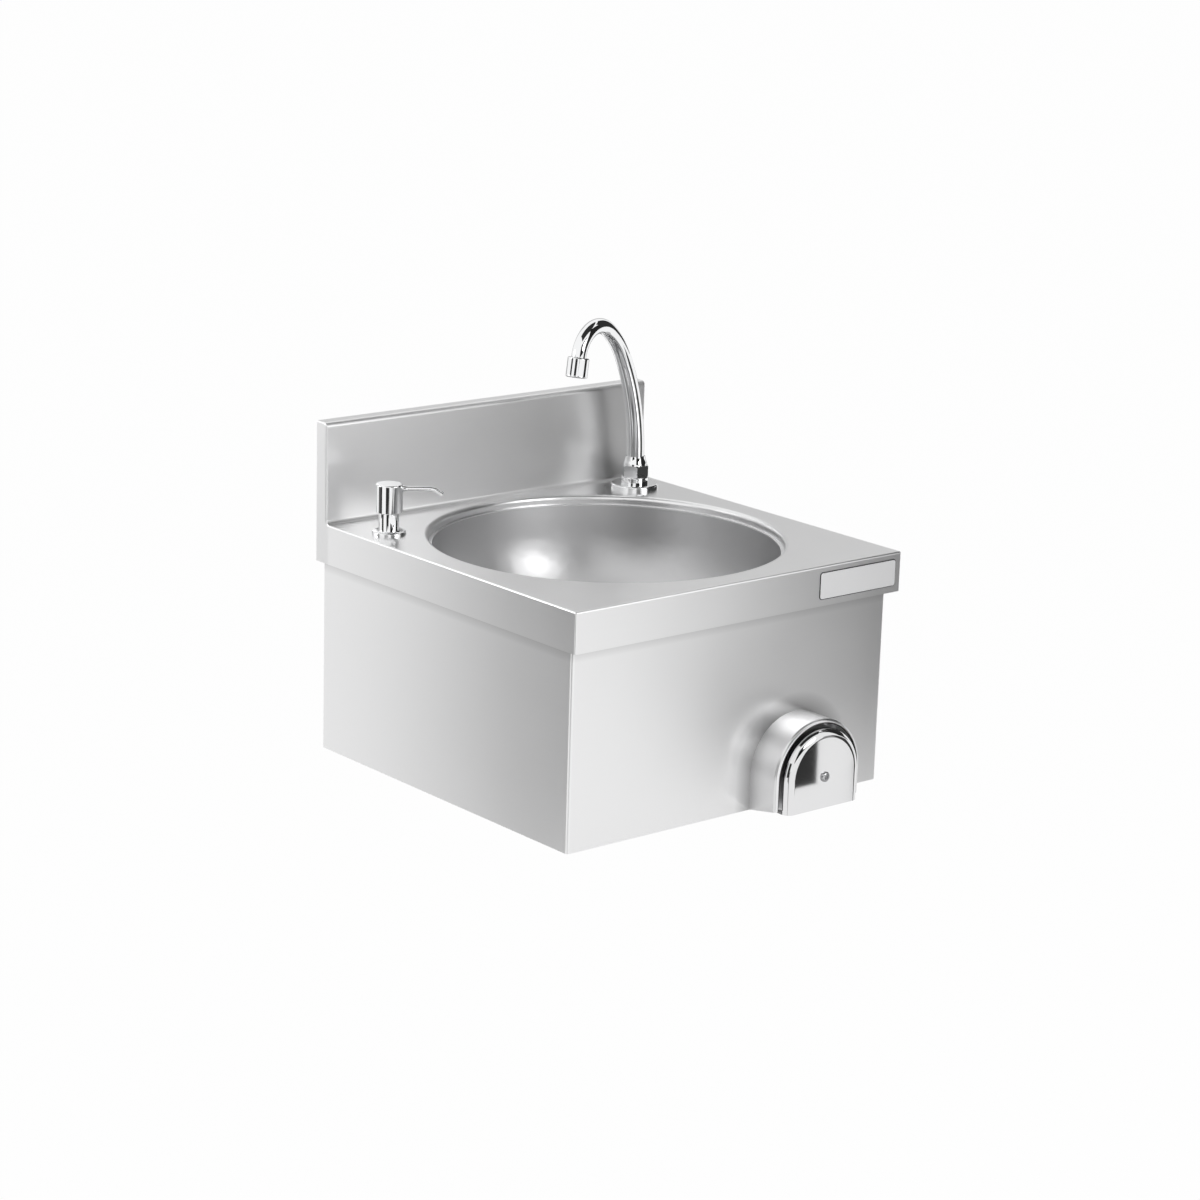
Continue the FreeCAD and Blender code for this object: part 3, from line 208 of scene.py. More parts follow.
class Grain(Enum):
    """How a metal surface was finished."""

    BRUSHED = "straight lines along the sheet"
    SPUN = "rings from spinning"
    POLISHED = "fine, without direction"
    CAST = "rough skin"


@dataclass(frozen=True)
class Tone:
    """Part of a surface that is duller, or painted darker or brighter, such as painted shade on the
    inside of a sleeve.

    The distance is measured in mm across the given axis from the given centre, or along
    the axis itself when there is no centre; the tone is full at `full` and gone at `gone`.
    """

    axis: str
    factor: float
    full: float
    gone: float
    centre: tuple[float, float] | None = None
    arch: bool = False

    def share(self, shader: Shader) -> bpy.types.NodeSocket:
        """The tone's factor on each point of the surface, from `factor` to 1.

        Args:
            shader: where its nodes go.

        Returns:
            The factor.
        """
        place = shader.add("ShaderNodeSeparateXYZ")
        shader.link(shader.add("ShaderNodeTexCoord").outputs["Object"], place.inputs[0])
        if self.centre is None:
            distance = place.outputs[self.axis]
        else:
            first, second = (name for name in "XYZ" if name != self.axis)
            a = shader.math("SUBTRACT", place.outputs[first], self.centre[0] * MM)
            b = shader.math("SUBTRACT", place.outputs[second], self.centre[1] * MM)
            if self.arch:
                b = shader.math("MAXIMUM", b, 0.0)
            distance = shader.math("SQRT", shader.math(
                "ADD", shader.math("MULTIPLY", a, a), shader.math("MULTIPLY", b, b)))
        return shader.spread(distance, self.factor, 1.0, self.full * MM, self.gone * MM)


@dataclass(frozen=True)
class Metal:
    """Bare or plated metal.

    The grain only stirs the gloss and the surface by a hair, as fine polishing does.
    """

    slot: str
    name: str
    colour: tuple[float, float, float]
    roughness: float
    grain: Grain
    depth: float = 0.02
    waviness: float = 0.0
    tones: tuple[Tone, ...] = ()
    matt: Tone | None = None

    def lines(self, shader: Shader) -> bpy.types.NodeSocket:
        """Noise of the grain.

        Args:
            shader: where its nodes go.

        Returns:
            A value from 0 to 1.
        """
        if self.grain is Grain.BRUSHED:
            return shader.noise(Vector((10.0, 10.0, 1500.0)), 2.0, 0.5, by_normal=True)
        if self.grain is Grain.SPUN:
            return shader.noise(Vector((24.0, 24.0, 2200.0)), 3.0, 0.6)
        if self.grain is Grain.CAST:
            return shader.noise(Vector((700.0, 700.0, 700.0)), 4.0, 0.7)
        return shader.noise(Vector((380.0, 380.0, 380.0)), 2.0, 0.5)

    def material(self) -> bpy.types.Material:
        """Builds the finish.

        Returns:
            The material.
        """
        found = bpy.data.materials.get(self.name)
        if found:
            return found
        made = bpy.data.materials.new(self.name)
        shader = Shader(made)
        out = shader.add("ShaderNodeOutputMaterial")
        skin = shader.add("ShaderNodeBsdfPrincipled")
        skin.inputs["Metallic"].default_value = 1.0
        grain = self.lines(shader)
        clouds = shader.noise(Vector((9.0, 9.0, 9.0)), 3.0)
        dark = tuple(0.955 * c for c in self.colour)
        colour = shader.tint(clouds, dark, self.colour)
        # Grain and tones scale the colour; the skirt's and the collar's tones are painted shade.
        for share in [shader.spread(grain, 0.994, 1.0, 0.3, 0.7),
                      *(tone.share(shader) for tone in self.tones)]:
            scaled = shader.add("ShaderNodeVectorMath", operation="SCALE")
            shader.link(colour, scaled.inputs[0])
            shader.link(share, scaled.inputs["Scale"])
            colour = scaled.outputs[0]
        shader.link(colour, skin.inputs["Base Color"])
        gloss = shader.spread(grain, self.roughness * 0.985, self.roughness * 1.015, 0.3, 0.7)
        patchy = shader.spread(clouds, -0.03 * self.roughness, 0.03 * self.roughness, 0.3, 0.7)
        gloss = shader.math("ADD", gloss, patchy)
        if self.matt:
            gloss = shader.math("MULTIPLY", gloss, self.matt.share(shader))
        shader.link(gloss, skin.inputs["Roughness"])
        bump = shader.add("ShaderNodeBump")
        bump.inputs["Strength"].default_value = self.depth
        bump.inputs["Distance"].default_value = 0.0002
        shader.link(grain, bump.inputs["Height"])
        if self.waviness:
            swell = shader.add("ShaderNodeBump")
            swell.inputs["Strength"].default_value = self.waviness
            swell.inputs["Distance"].default_value = 0.002
            shader.link(shader.noise(Vector((7.0, 7.0, 7.0)), 1.0), swell.inputs["Height"])
            shader.link(swell.outputs[0], bump.inputs["Normal"])
        shader.link(bump.outputs[0], skin.inputs["Normal"])
        shader.link(skin.outputs[0], out.inputs["Surface"])
        return made


@dataclass(frozen=True)
class Moulded:
    """Moulded plastic or rubber with a fine skin."""

    slot: str
    name: str
    colour: tuple[float, float, float]
    roughness: float
    pores: float = 900.0
    depth: float = 0.08

    def material(self) -> bpy.types.Material:
        """Builds the finish.

        Returns:
            The material.
        """
        found = bpy.data.materials.get(self.name)
        if found:
            return found
        made = bpy.data.materials.new(self.name)
        shader = Shader(made)
        out = shader.add("ShaderNodeOutputMaterial")
        skin = shader.add("ShaderNodeBsdfPrincipled")
        fine = shader.noise(Vector((self.pores,) * 3), 3.0)
        broad = shader.noise(Vector((30.0,) * 3), 2.0)
        dark = tuple(0.86 * c for c in self.colour)
        shader.link(shader.tint(broad, dark, self.colour), skin.inputs["Base Color"])
        shader.link(shader.spread(fine, self.roughness * 0.85, self.roughness * 1.15, 0.3, 0.7),
                    skin.inputs["Roughness"])
        bump = shader.add("ShaderNodeBump")
        bump.inputs["Strength"].default_value = self.depth
        bump.inputs["Distance"].default_value = 0.0002
        shader.link(fine, bump.inputs["Height"])
        shader.link(bump.outputs[0], skin.inputs["Normal"])
        shader.link(skin.outputs[0], out.inputs["Surface"])
        return made


SHEET_COLOUR = (0.93, 0.93, 0.932)
COLLAR_AXIS = (81.0, -245.0)    # x and z of the collar's middle in the frame, mm
SATIN = Metal("satin_steel", "satin steel sheet", SHEET_COLOUR, 0.29, Grain.BRUSHED, 0.0006,
              matt=Tone("Y", 1.35, -17.0, -22.0))
# The skirt's tones are painted shade: a darker band just under the apron's edge and a darker halo
# round the knee collar.
SKIRT = Metal("satin_steel", "skirt steel", SHEET_COLOUR, 0.29, Grain.BRUSHED, 0.0006,
              tones=(Tone("Z", 0.75, -89.0, -101.0),
                     Tone("Y", 0.5, 53.0, 72.0, COLLAR_AXIS, True)))
BOWL = Metal("bowl_steel", "spun steel", (0.63, 0.63, 0.635), 0.37, Grain.SPUN, 0.0006,
             tones=(Tone("Z", 1.35, -60.0, -60.3),))
MIRROR = Metal("polished_steel", "polished steel", (0.90, 0.90, 0.905), 0.03, Grain.POLISHED, 0.001)
BUFFED = Metal("polished_steel", "buffed steel", (0.80, 0.80, 0.805), 0.045, Grain.POLISHED, 0.001)
SCREW = Metal("polished_steel", "screw steel", (0.55, 0.55, 0.56), 0.2, Grain.POLISHED, 0.001)
RAIL = Metal("rail_steel", "rail steel", (0.62, 0.62, 0.63), 0.38, Grain.CAST, 0.05)
CHROME = Metal("chrome", "chrome plating", (0.93, 0.935, 0.94), 0.035, Grain.POLISHED, 0.003)
BRASS = Metal("brass", "turned brass", (0.80, 0.62, 0.33), 0.30, Grain.CAST, 0.05)
BRAID = Metal("hose_braid", "braid wire", (0.74, 0.74, 0.75), 0.30, Grain.POLISHED, 0.02)
# The collar's tone is painted shade: the inside of its sleeve, round the pushed cup, is nearly
# black.
COLLAR = Metal("satin_steel", "collar steel", (0.92, 0.92, 0.925), 0.3, Grain.POLISHED, 0.002,
               tones=(Tone("Y", 0.05, 50.2, 50.4, COLLAR_AXIS, True),))
PLATE = Metal("satin_steel", "brushed plate", (0.92, 0.92, 0.925), 0.5, Grain.BRUSHED, 0.0006)
RUBBER = Moulded("rubber", "black rubber", (0.03, 0.03, 0.032), 0.62)
WHITE = Moulded("white_plastic", "natural plastic", (0.80, 0.80, 0.77), 0.38)
BLACK = Moulded("black_plastic", "black plastic", (0.035, 0.036, 0.038), 0.40)
Finish = Metal | Moulded


def settle(mesh: bpy.types.Mesh, finish: Finish, crease: float) -> None:
    """Gives a mesh its finish and its smooth and sharp edges.

    Args:
        mesh: the mesh.
        finish: what it is made of.
        crease: angle in degrees past which an edge stays sharp.
    """
    mesh.materials.clear()
    mesh.materials.append(finish.material())
    mesh.shade_smooth()
    mesh.set_sharp_from_angle(angle=radians(crease))


def baked(maker: bpy.types.Object, name: str) -> bpy.types.Object:
    """Turns an object with live modifiers into a plain mesh object and removes the maker.

    Args:
        maker: the object whose evaluated mesh is taken.
        name: name of the plain piece.

    Returns:
        The plain piece, with its place in its mesh.
    """
    bpy.context.view_layer.update()
    graph = bpy.context.evaluated_depsgraph_get()
    mesh = bpy.data.meshes.new_from_object(maker.evaluated_get(graph),
                                           preserve_all_data_layers=True, depsgraph=graph)
    bpy.data.objects.remove(maker)
    mesh.name = name
    piece = bpy.data.objects.new(name, mesh)
    bpy.context.scene.collection.objects.link(piece)
    return piece


def hand_over(piece: bpy.types.Object, body: str, finish: Finish, *nodes: str) -> None:
    """Sets a piece on its body and in the place of its CAD nodes.

    Args:
        piece: the finished piece.
        body: CAD body that it moves with.
        finish: not used.
        nodes: CAD nodes that it replaces.
    """
    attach(piece, body)
    if nodes:
        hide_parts(*nodes)
    LOG.info("%s: %d faces, on %s", piece.name, len(piece.data.polygons), body)


def dress(node: str, finish: Finish) -> None:
    """Gives a CAD node that stays as it is its finish."""
    mesh = frame["nodes"][node].data
    mesh.materials.clear()
    mesh.materials.append(finish.material())
    LOG.info("%s: CAD node in %s", node, finish.name)


def evened(mesh: bpy.types.Mesh, name: str) -> bpy.types.Object:
    """Makes a mesh a plain piece whose flat faces are shaded flat up to their round edges."""
    maker = bpy.data.objects.new("maker", mesh)
    bpy.context.scene.collection.objects.link(maker)
    even = maker.modifiers.new("even", "WEIGHTED_NORMAL")
    even.keep_sharp = True
    even.weight = 80
    return baked(maker, name)


def written(work: bmesh.types.BMesh, name: str, finish: Finish,
            crease: float) -> bpy.types.Mesh:
    """Writes a bmesh out as a settled mesh and frees it.

    Args:
        work: the bmesh.
        name: the mesh's name.
        finish: what it is made of.
        crease: angle in degrees past which an edge stays sharp.

    Returns:
        The mesh.
    """
    mesh = bpy.data.meshes.new(name)
    work.to_mesh(mesh)
    work.free()
    settle(mesh, finish, crease)
    return mesh


def refine(node: str, finish: Finish, crease: float = 32.0) -> None:
    """Replaces a CAD node by a merged copy whose round faces are shaded round.

    Args:
        node: the CAD node.
        finish: what it is made of.
        crease: angle in degrees past which an edge stays sharp.
    """
    source = frame["nodes"][node]
    work = bmesh.new()
    work.from_mesh(source.data)
    bmesh.ops.remove_doubles(work, verts=work.verts, dist=2e-6)
    bmesh.ops.dissolve_limit(work, angle_limit=radians(0.3), verts=work.verts,
                             edges=work.edges)
    mesh = written(work, "smooth_" + node, finish, crease)
    hand_over(evened(mesh, "smooth_" + node), source["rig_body"], finish, node)


def lathe(name: str, outline: list[tuple[float, float]], finish: Finish, sides: int = 96,
          crease: float = 30.0) -> bpy.types.Mesh:
    """Mesh of revolution about Z.

    Args:
        name: name of the mesh.
        outline: (radius, height) points in mm, from the axis back to the axis.
        finish: what it is made of.
        sides: steps round the axis.
        crease: angle in degrees past which an edge stays sharp.

    Returns:
        The closed mesh, in metres, on the origin.
    """
    work = bmesh.new()
    points = [work.verts.new((r * MM, 0, z * MM)) for r, z in outline]
    edges = [work.edges.new(pair) for pair in zip(points, points[1:])]
    bmesh.ops.spin(work, geom=points + edges, cent=(0, 0, 0), axis=(0, 0, 1),
                   angle=2 * pi, steps=sides, use_merge=True)
    bmesh.ops.remove_doubles(work, verts=work.verts, dist=1e-6)
    bmesh.ops.dissolve_degenerate(work, edges=work.edges, dist=1e-7)
    bmesh.ops.recalc_face_normals(work, faces=work.faces)
    return written(work, name, finish, crease)


def as_object(name: str, mesh: bpy.types.Mesh) -> bpy.types.Object:
    """Links a mesh to the scene as an object at the origin."""
    piece = bpy.data.objects.new(name, mesh)
    bpy.context.scene.collection.objects.link(piece)
    return piece


def points_object(name: str, points: list[Vector], joined: bool = False) -> bpy.types.Object:
    """Object whose vertices are the given points, joined as one line if asked."""
    mesh = bpy.data.meshes.new(name)
    links = [(k, k + 1) for k in range(len(points) - 1)] if joined else []
    mesh.from_pydata(points, links, [])
    return as_object(name, mesh)


class Growth:
    """A geometry node tree with named inputs, run once on an object."""

    def __init__(self, name: str) -> None:
        """Starts a tree with its geometry input and output.

        Args:
            name: the tree's name.
        """
        self.tree = bpy.data.node_groups.new(name, "GeometryNodeTree")
        face = self.tree.interface
        face.new_socket("Geometry", in_out="INPUT", socket_type="NodeSocketGeometry")
        face.new_socket("Geometry", in_out="OUTPUT", socket_type="NodeSocketGeometry")
        self.entry = self.tree.nodes.new("NodeGroupInput")
        self.exit = self.tree.nodes.new("NodeGroupOutput")

    def number(self, name: str, value: float) -> bpy.types.NodeSocket:
        """Adds a named number input.

        Args:
            name: the input's name.
            value: its default.

        Returns:
            The socket inside the tree.
        """
        kind = "NodeSocketInt" if isinstance(value, int) else "NodeSocketFloat"
        item = self.tree.interface.new_socket(name, in_out="INPUT", socket_type=kind)
        item.default_value = value
        return self.entry.outputs[name]

    def piece(self, name: str) -> bpy.types.NodeSocket:
        """Adds a named object input."""
        self.tree.interface.new_socket(name, in_out="INPUT", socket_type="NodeSocketObject")
        return self.entry.outputs[name]

    def add(self, kind: str, inputs: dict | None = None, **settings: object) -> bpy.types.Node:
        """Adds a node.

        Args:
            kind: the node's class name.
            inputs: socket name or number to value or source socket.
            settings: attributes of the node.

        Returns:
            The new node.
        """
        node = self.tree.nodes.new(kind)
        for name, value in settings.items():
            setattr(node, name, value)
        for name, value in (inputs or {}).items():
            if isinstance(value, bpy.types.NodeSocket):
                self.tree.links.new(value, node.inputs[name])
            else:
                node.inputs[name].default_value = value
        return node

    def sum(self, operation: str, a: object, b: object = 0.0) -> bpy.types.NodeSocket:
        """One sum of two values or sockets."""
        return self.add("ShaderNodeMath", {0: a, 1: b}, operation=operation).outputs[0]

    def vector(self, operation: str, a: object, b: object) -> bpy.types.NodeSocket:
        """One sum of two vectors or sockets; b is a number where the operation scales."""
        node = self.add("ShaderNodeVectorMath", {0: a}, operation=operation)
        target = node.inputs["Scale"] if operation == "SCALE" else node.inputs[1]
        if isinstance(b, bpy.types.NodeSocket):
            self.tree.links.new(b, target)
        else:
            target.default_value = b
        return node.outputs[0]

    def close(self, geometry: bpy.types.NodeSocket, finish: Finish, smooth: bool = True) -> None:
        """Ends the tree.

        Args:
            geometry: the last geometry.
            finish: what it is made of.
            smooth: whether its faces are shaded round.
        """
        real = self.add("GeometryNodeRealizeInstances", {0: geometry})
        shade = self.add("GeometryNodeSetShadeSmooth",
                         {"Geometry": real.outputs[0], "Shade Smooth": smooth})
        paint = self.add("GeometryNodeSetMaterial",
                         {"Geometry": shade.outputs[0], "Material": finish.material()})
        self.tree.links.new(paint.outputs[0], self.exit.inputs[0])

    def run(self, base: bpy.types.Object, name: str, **values: object) -> bpy.types.Object:
        """Runs the tree on an object.

        Args:
            base: object whose geometry goes in; it is used up.
            name: name of the plain piece.
            values: the named inputs, with _ for a space.

        Returns:
            The plain piece.
        """
        live = base.modifiers.new("growth", "NODES")
        live.node_group = self.tree
        for item in self.tree.interface.items_tree:
            key = item.name.replace(" ", "_")
            if item.in_out == "INPUT" and key in values:
                live[item.identifier] = values[key]
        return baked(base, name)


def tube_growth(finish: Finish, sides: int = 48) -> Growth:
    """Tree that grows a tapered round bar along a line of points.

    Args:
        finish: what the bar is made of.
        sides: faces round the bar.

    Returns:
        The tree, with inputs Foot radius and Tip radius.
    """
    tree = Growth("tapered tube")
    foot = tree.number("Foot radius", 0.009)
    tip = tree.number("Tip radius", 0.007)
    line = tree.add("GeometryNodeMeshToCurve", {"Mesh": tree.entry.outputs["Geometry"]})
    along = tree.add("GeometryNodeSplineParameter").outputs["Factor"]
    radius = tree.add("ShaderNodeMapRange", {"Value": along, "To Min": foot, "To Max": tip})
    ring = tree.add("GeometryNodeCurvePrimitiveCircle", {"Resolution": sides, "Radius": 1.0})
    bar = tree.add("GeometryNodeCurveToMesh", {
        "Curve": line.outputs[0], "Profile Curve": ring.outputs[0], "Scale": radius.outputs[0],
        "Fill Caps": True})
    tree.close(bar.outputs[0], finish)
    return tree


def round_bar(name: str, line: list[Vector], finish: Finish, radii: tuple[float, float],
              sides: int) -> bpy.types.Object:
    """Round bar along a line of points in the frame, from its foot to its tip radius in mm."""
    return tube_growth(finish, sides).run(points_object("line", line, True), name,
                                          Foot_radius=radii[0] * MM, Tip_radius=radii[1] * MM)


def thread_growth(finish: Finish) -> Growth:
    """Tree that winds a screw thread of the given radius, pitch and turns upwards from z = 0."""
    tree = Growth("screw thread")
    radius = tree.number("Radius", 0.01)
    pitch = tree.number("Pitch", 0.0018)
    turns = tree.number("Turns", 6.0)
    height = tree.sum("MULTIPLY", pitch, turns)
    coil = tree.add("GeometryNodeCurveSpiral", {
        "Resolution": 48, "Rotations": turns, "Start Radius": radius, "End Radius": radius,
        "Height": height})
    ridge = tree.add("GeometryNodeCurvePrimitiveCircle",
                     {"Resolution": 4, "Radius": tree.sum("MULTIPLY", pitch, RIDGE)})
    wound = tree.add("GeometryNodeCurveToMesh", {"Curve": coil.outputs[0],
                                                 "Profile Curve": ridge.outputs[0],
                                                 "Fill Caps": True})
    tree.close(wound.outputs[0], finish, smooth=False)
    return tree


def thread_piece(name: str, finish: Finish, foot: Vector, radius: float, pitch: float,
                 turns: float) -> None:
    """Sets an upright screw thread on the basin, a hair proud of the bar that it is cut on.

    Args:
        name: the piece's name.
        finish: what it is made of.
        foot: middle of its first turn, in the frame.
        radius: radius of the bar in mm.
        pitch: pitch in mm.
        turns: number of turns.
    """
    piece = thread_growth(finish).run(points_object("origin", [Vector()]), name,
                                      Radius=(radius - RIDGE * pitch + 0.05) * MM,
                                      Pitch=pitch * MM, Turns=turns)
    piece.data.transform(Matrix.Translation(foot))
    hand_over(piece, BASIN, finish)


def copies_growth(finish: Finish) -> Growth:
    """Tree that sets a copy of one piece on each point, all turned the same way."""
    tree = Growth("copies on points")
    what = tree.piece("Piece")
    tilt = tree.number("Tilt", 0.0)
    info = tree.add("GeometryNodeObjectInfo", {"Object": what, "As Instance": True})
    turn = tree.add("ShaderNodeCombineXYZ", {"X": tilt})
    spots = tree.add("GeometryNodeInstanceOnPoints", {
        "Points": tree.entry.outputs["Geometry"], "Instance": info.outputs["Geometry"],
        "Rotation": turn.outputs[0]})
    real = tree.add("GeometryNodeRealizeInstances", {0: spots.outputs[0]})
    paint = tree.add("GeometryNodeSetMaterial",
                     {"Geometry": real.outputs[0], "Material": finish.material()})
    tree.tree.links.new(paint.outputs[0], tree.exit.inputs[0])
    return tree


def pan_screws(name: str, spots: list[Vector], head: bpy.types.Mesh, node: str,
               tilt: float = 0.0) -> None:
    """Sets a copy of one screw on each spot in the place of a CAD node.

    Args:
        name: the piece's name.
        spots: middles of the seats, in the frame.
        head: the screw, with its seat on the origin.
        node: the CAD node.
        tilt: turn of each screw about X in radians.
    """
    model = as_object(name + "_model", head)
    piece = copies_growth(RAIL).run(points_object("spots", spots), name, Piece=model, Tilt=tilt)
    bpy.data.objects.remove(model)
    hand_over(piece, BASIN, RAIL, node)


def coil_spring(name: str, foot: Vector, along: Vector, size: tuple[float, float, float],
                turns: float) -> bpy.types.Object:
    """Compression spring of round wire whose first and last turns lie closed.

    Args:
        name: the piece's name.
        foot: middle of its foot, in the frame.
        along: unit direction from its foot to its tip.
        size: outer radius, radius of the wire and length in mm.
        turns: number of turns, with the two closed ones.

    Returns:
        The piece.
    """
    outer, wire, length = size
    side = along.orthogonal().normalized()
    other = along.cross(side)
    pitch = (length - 6 * wire) / (turns - 2)
    steps = round(turns * 32)
    points = []
    for k in range(steps + 1):
        turn = turns * k / steps
        closed = min(turn, 1.0) + max(turn - turns + 1, 0.0)
        rise = wire + 2 * wire * closed + pitch * min(max(turn - 1, 0.0), turns - 2)
        arm = side * cos(2 * pi * turn) + other * sin(2 * pi * turn)
        points.append(foot + (along * rise + arm * (outer - wire)) * MM)
    return round_bar(name, points, RAIL, (wire, wire), 12)


def bent_line(corners: list[Vector], radii: list[float], step: float = 6.0) -> list[Vector]:
    """Points along straight runs joined by tangent arcs.

    Args:
        corners: ends and corners of the route.
        radii: bend radius at each inner corner, in the corners' unit.
        step: degrees between points on an arc.

    Returns:
        The points in order.
    """
    points = [corners[0]]
    for before, corner, after, radius in zip(corners, corners[1:], corners[2:], radii):
        into = (corner - before).normalized()
        out = (after - corner).normalized()
        angle = into.angle(out)
        back = radius * sin(angle / 2) / cos(angle / 2)
        centre = corner + (out - into).normalized() * (radius / cos(angle / 2))
        first = corner - into * back - centre
        axis = into.cross(out)
        count = max(2, round(degrees(angle) / step))
        for k in range(count + 1):
            points.append(centre + Matrix.Rotation(angle * k / count, 3, axis) @ first)
    points.append(corners[-1])
    return points


# ---------------------------------------------------------------- sheet metal
@dataclass
class SheetWork:
    """Deck with its splashback, the skirt below it, the rail on the wall and the bare plate."""

    apron_face: float = -400.0
    plate_left: float = 95.0
    plate_right: float = 192.0
    plate_foot: float = -32.0
    plate_top: float = -6.8
    plate_thick: float = 1.0
    plate_corner: float = 2.5
    # Thickness and reach of the dark rim that stands in for the shade round the plate.
    shade_rim_thick: float = 0.5
    shade_rim_edge: float = 0.8
    screw_seat: float = -40.2
    screw_spots: list[tuple[float, float]] = field(default_factory=lambda: [
        (-187.3, -310.0), (187.3, -310.0), (-187.3, -200.0), (187.3, -200.0),
        (-120.0, -382.3), (120.0, -382.3)])

    def slab(self, name: str, finish: Finish, thick: float, edge: float) -> None:
        """Thin slab on the apron, with rounded corners and a rolled edge.

        Args:
            name: the piece's name.
            finish: what it is made of.
            thick: its thickness in mm.
            edge: how far it stands out round the plate in mm.
        """
        work = bmesh.new()
        outline = []
        corner = self.plate_corner
        right, left = self.plate_right - corner, self.plate_left + corner
        top, foot = self.plate_top - corner, self.plate_foot + corner
        for x, z, turn in ((right, top, 0), (left, top, 90), (left, foot, 180), (right, foot, 270)):
            for k in range(7):
                a = radians(turn + 15 * k)
                outline.append(row(x + (corner + edge) * cos(a), self.apron_face,
                                   z + (corner + edge) * sin(a)))
        face = work.faces.new([work.verts.new(p) for p in outline])
        front = bmesh.ops.extrude_face_region(work, geom=[face])
        verts = [v for v in front["geom"] if isinstance(v, bmesh.types.BMVert)]
        bmesh.ops.translate(work, verts=verts, vec=(0, -thick * MM, 0))
        bmesh.ops.recalc_face_normals(work, faces=work.faces)
        rim = [e for e in work.edges
               if all(abs(v.co.y - (self.apron_face - thick) * MM) < 1e-6 for v in e.verts)]
        bmesh.ops.bevel(work, geom=rim, offset=0.5 * thick * MM, segments=3, profile=0.5,
                        affect="EDGES")
        hand_over(evened(written(work, name, finish, 35.0), name), BASIN, finish)

    def plate(self) -> None:
        """Bare plate on the right end of the apron, on a dark rubber rim that stands in for the
        shade along its edge.
        """
        self.slab("bare_plate", PLATE, self.plate_thick, 0.0)
        # The dark rubber rim round the plate is painted shade: it stands in for the shade along the
        # plate's edge.
        self.slab("plate_pad", RUBBER, self.shade_rim_thick, self.shade_rim_edge)

    def screws(self) -> None:
        """Screws and nuts that hold the skirt up against the apron's return."""
        head = lathe("pan_head", [(0, -2.4), (1.25, -2.4), (1.25, -1.5), (1.3, -1.45), (1.3, -2.4),
                                  (2.4, -2.38), (3.0, -2.1), (3.4, -1.4), (3.6, -0.5), (3.6, 0),
                                  (2.0, 0), (2.0, 8.0), (0, 8.0)], RAIL, sides=28)
        pan_screws("skirt_pan_screws", [row(x, y, self.screw_seat) for x, y in self.screw_spots],
                   head, "skirt_screws")
        refine("skirt_nuts", RAIL)

    def build(self) -> None:
        """Dresses and adds every piece of sheet metal."""
        refine("deck_pan", SATIN)
        refine("skirt_panel", SKIRT)
        dress("hanging_rail", RAIL)
        self.plate()
        self.screws()


# ---------------------------------------------------------------- bowl and waste
@dataclass
class BowlAndWaste:
    """Spun bowl with its perforated grating, gaskets and threaded waste."""

    centre_y: float = -200.0
    seat: float = -147.5
    rings: tuple[tuple[float, int], ...] = ((7.5, 6), (14.0, 12))
    hole: float = 2.0
    tail_radius: float = 20.95
    tail_pitch: float = 2.309
    tail_foot: float = -213.5

    def grating(self) -> None:
        """Dished strainer plate whose holes are cut where a node tree sets them."""
        low = self.seat
        outline = [(3.1, 0.6), (18.0, 0.6), (20.0, 0.0), (32.0, 0.0), (32.0, 0.8), (31.3, 1.8),
                   (30.5, 2.1), (29.5, 2.2), (22.0, 2.0), (19.0, 1.8), (3.5, 1.8), (3.1, 1.5),
                   (3.1, 0.6)]
        mesh = lathe("grating", outline, MIRROR, sides=120)
        mesh.transform(Matrix.Translation(row(0, self.centre_y, low)))
        tree = Growth("perforations")
        radius = tree.number("Hole radius", 0.002)
        middle = row(0, self.centre_y, low + 1.2)
        rows = tree.add("GeometryNodeJoinGeometry")
        for k, (ring, count) in enumerate(self.rings):
            reach = tree.number("Ring %d radius" % (k + 1), ring * MM)
            holes = tree.number("Ring %d holes" % (k + 1), count)
            circle = tree.add("GeometryNodeMeshCircle", {"Vertices": holes, "Radius": reach})
            tree.tree.links.new(circle.outputs[0], rows.inputs[0])
        moved = tree.add("GeometryNodeTransform", {"Geometry": rows.outputs[0],
                                                   "Translation": middle})
        punch = tree.add("GeometryNodeMeshCylinder", {"Vertices": 24, "Radius": radius,
                                                      "Depth": 0.006})
        spots = tree.add("GeometryNodeInstanceOnPoints", {"Points": moved.outputs[0],
                                                          "Instance": punch.outputs["Mesh"]})
        cutters = tree.add("GeometryNodeRealizeInstances", {0: spots.outputs[0]})
        cut = tree.add("GeometryNodeMeshBoolean", operation="DIFFERENCE", solver="EXACT")
        tree.tree.links.new(tree.entry.outputs["Geometry"], cut.inputs["Mesh 1"])
        tree.tree.links.new(cutters.outputs[0], cut.inputs["Mesh 2"])
        tree.close(cut.outputs[0], MIRROR, smooth=False)
        punched = tree.run(as_object("grating_blank", mesh), "punched_grating",
                           Hole_radius=self.hole * MM)
        mesh = punched.data
        bpy.data.objects.remove(punched)
        settle(mesh, MIRROR, 25.0)
        hand_over(evened(mesh, "perforated_grating"), BASIN, MIRROR, "waste_grating")

    def tail_thread(self) -> None:
        """G 1 1/4 thread of the waste's tail."""
        thread_piece("waste_thread", BLACK, row(0, self.centre_y, self.tail_foot + 4.0),
                     self.tail_radius, self.tail_pitch, 14.0)

    def build(self) -> None:
        """Dresses and adds the bowl and everything under its floor."""
        refine("bowl", BOWL, 20.0)
        self.grating()
        refine("waste_screw", MIRROR)
        dress("waste_top_gasket", RUBBER)
        refine("waste_gasket", RUBBER)
        refine("waste_body", BLACK)
        self.tail_thread()


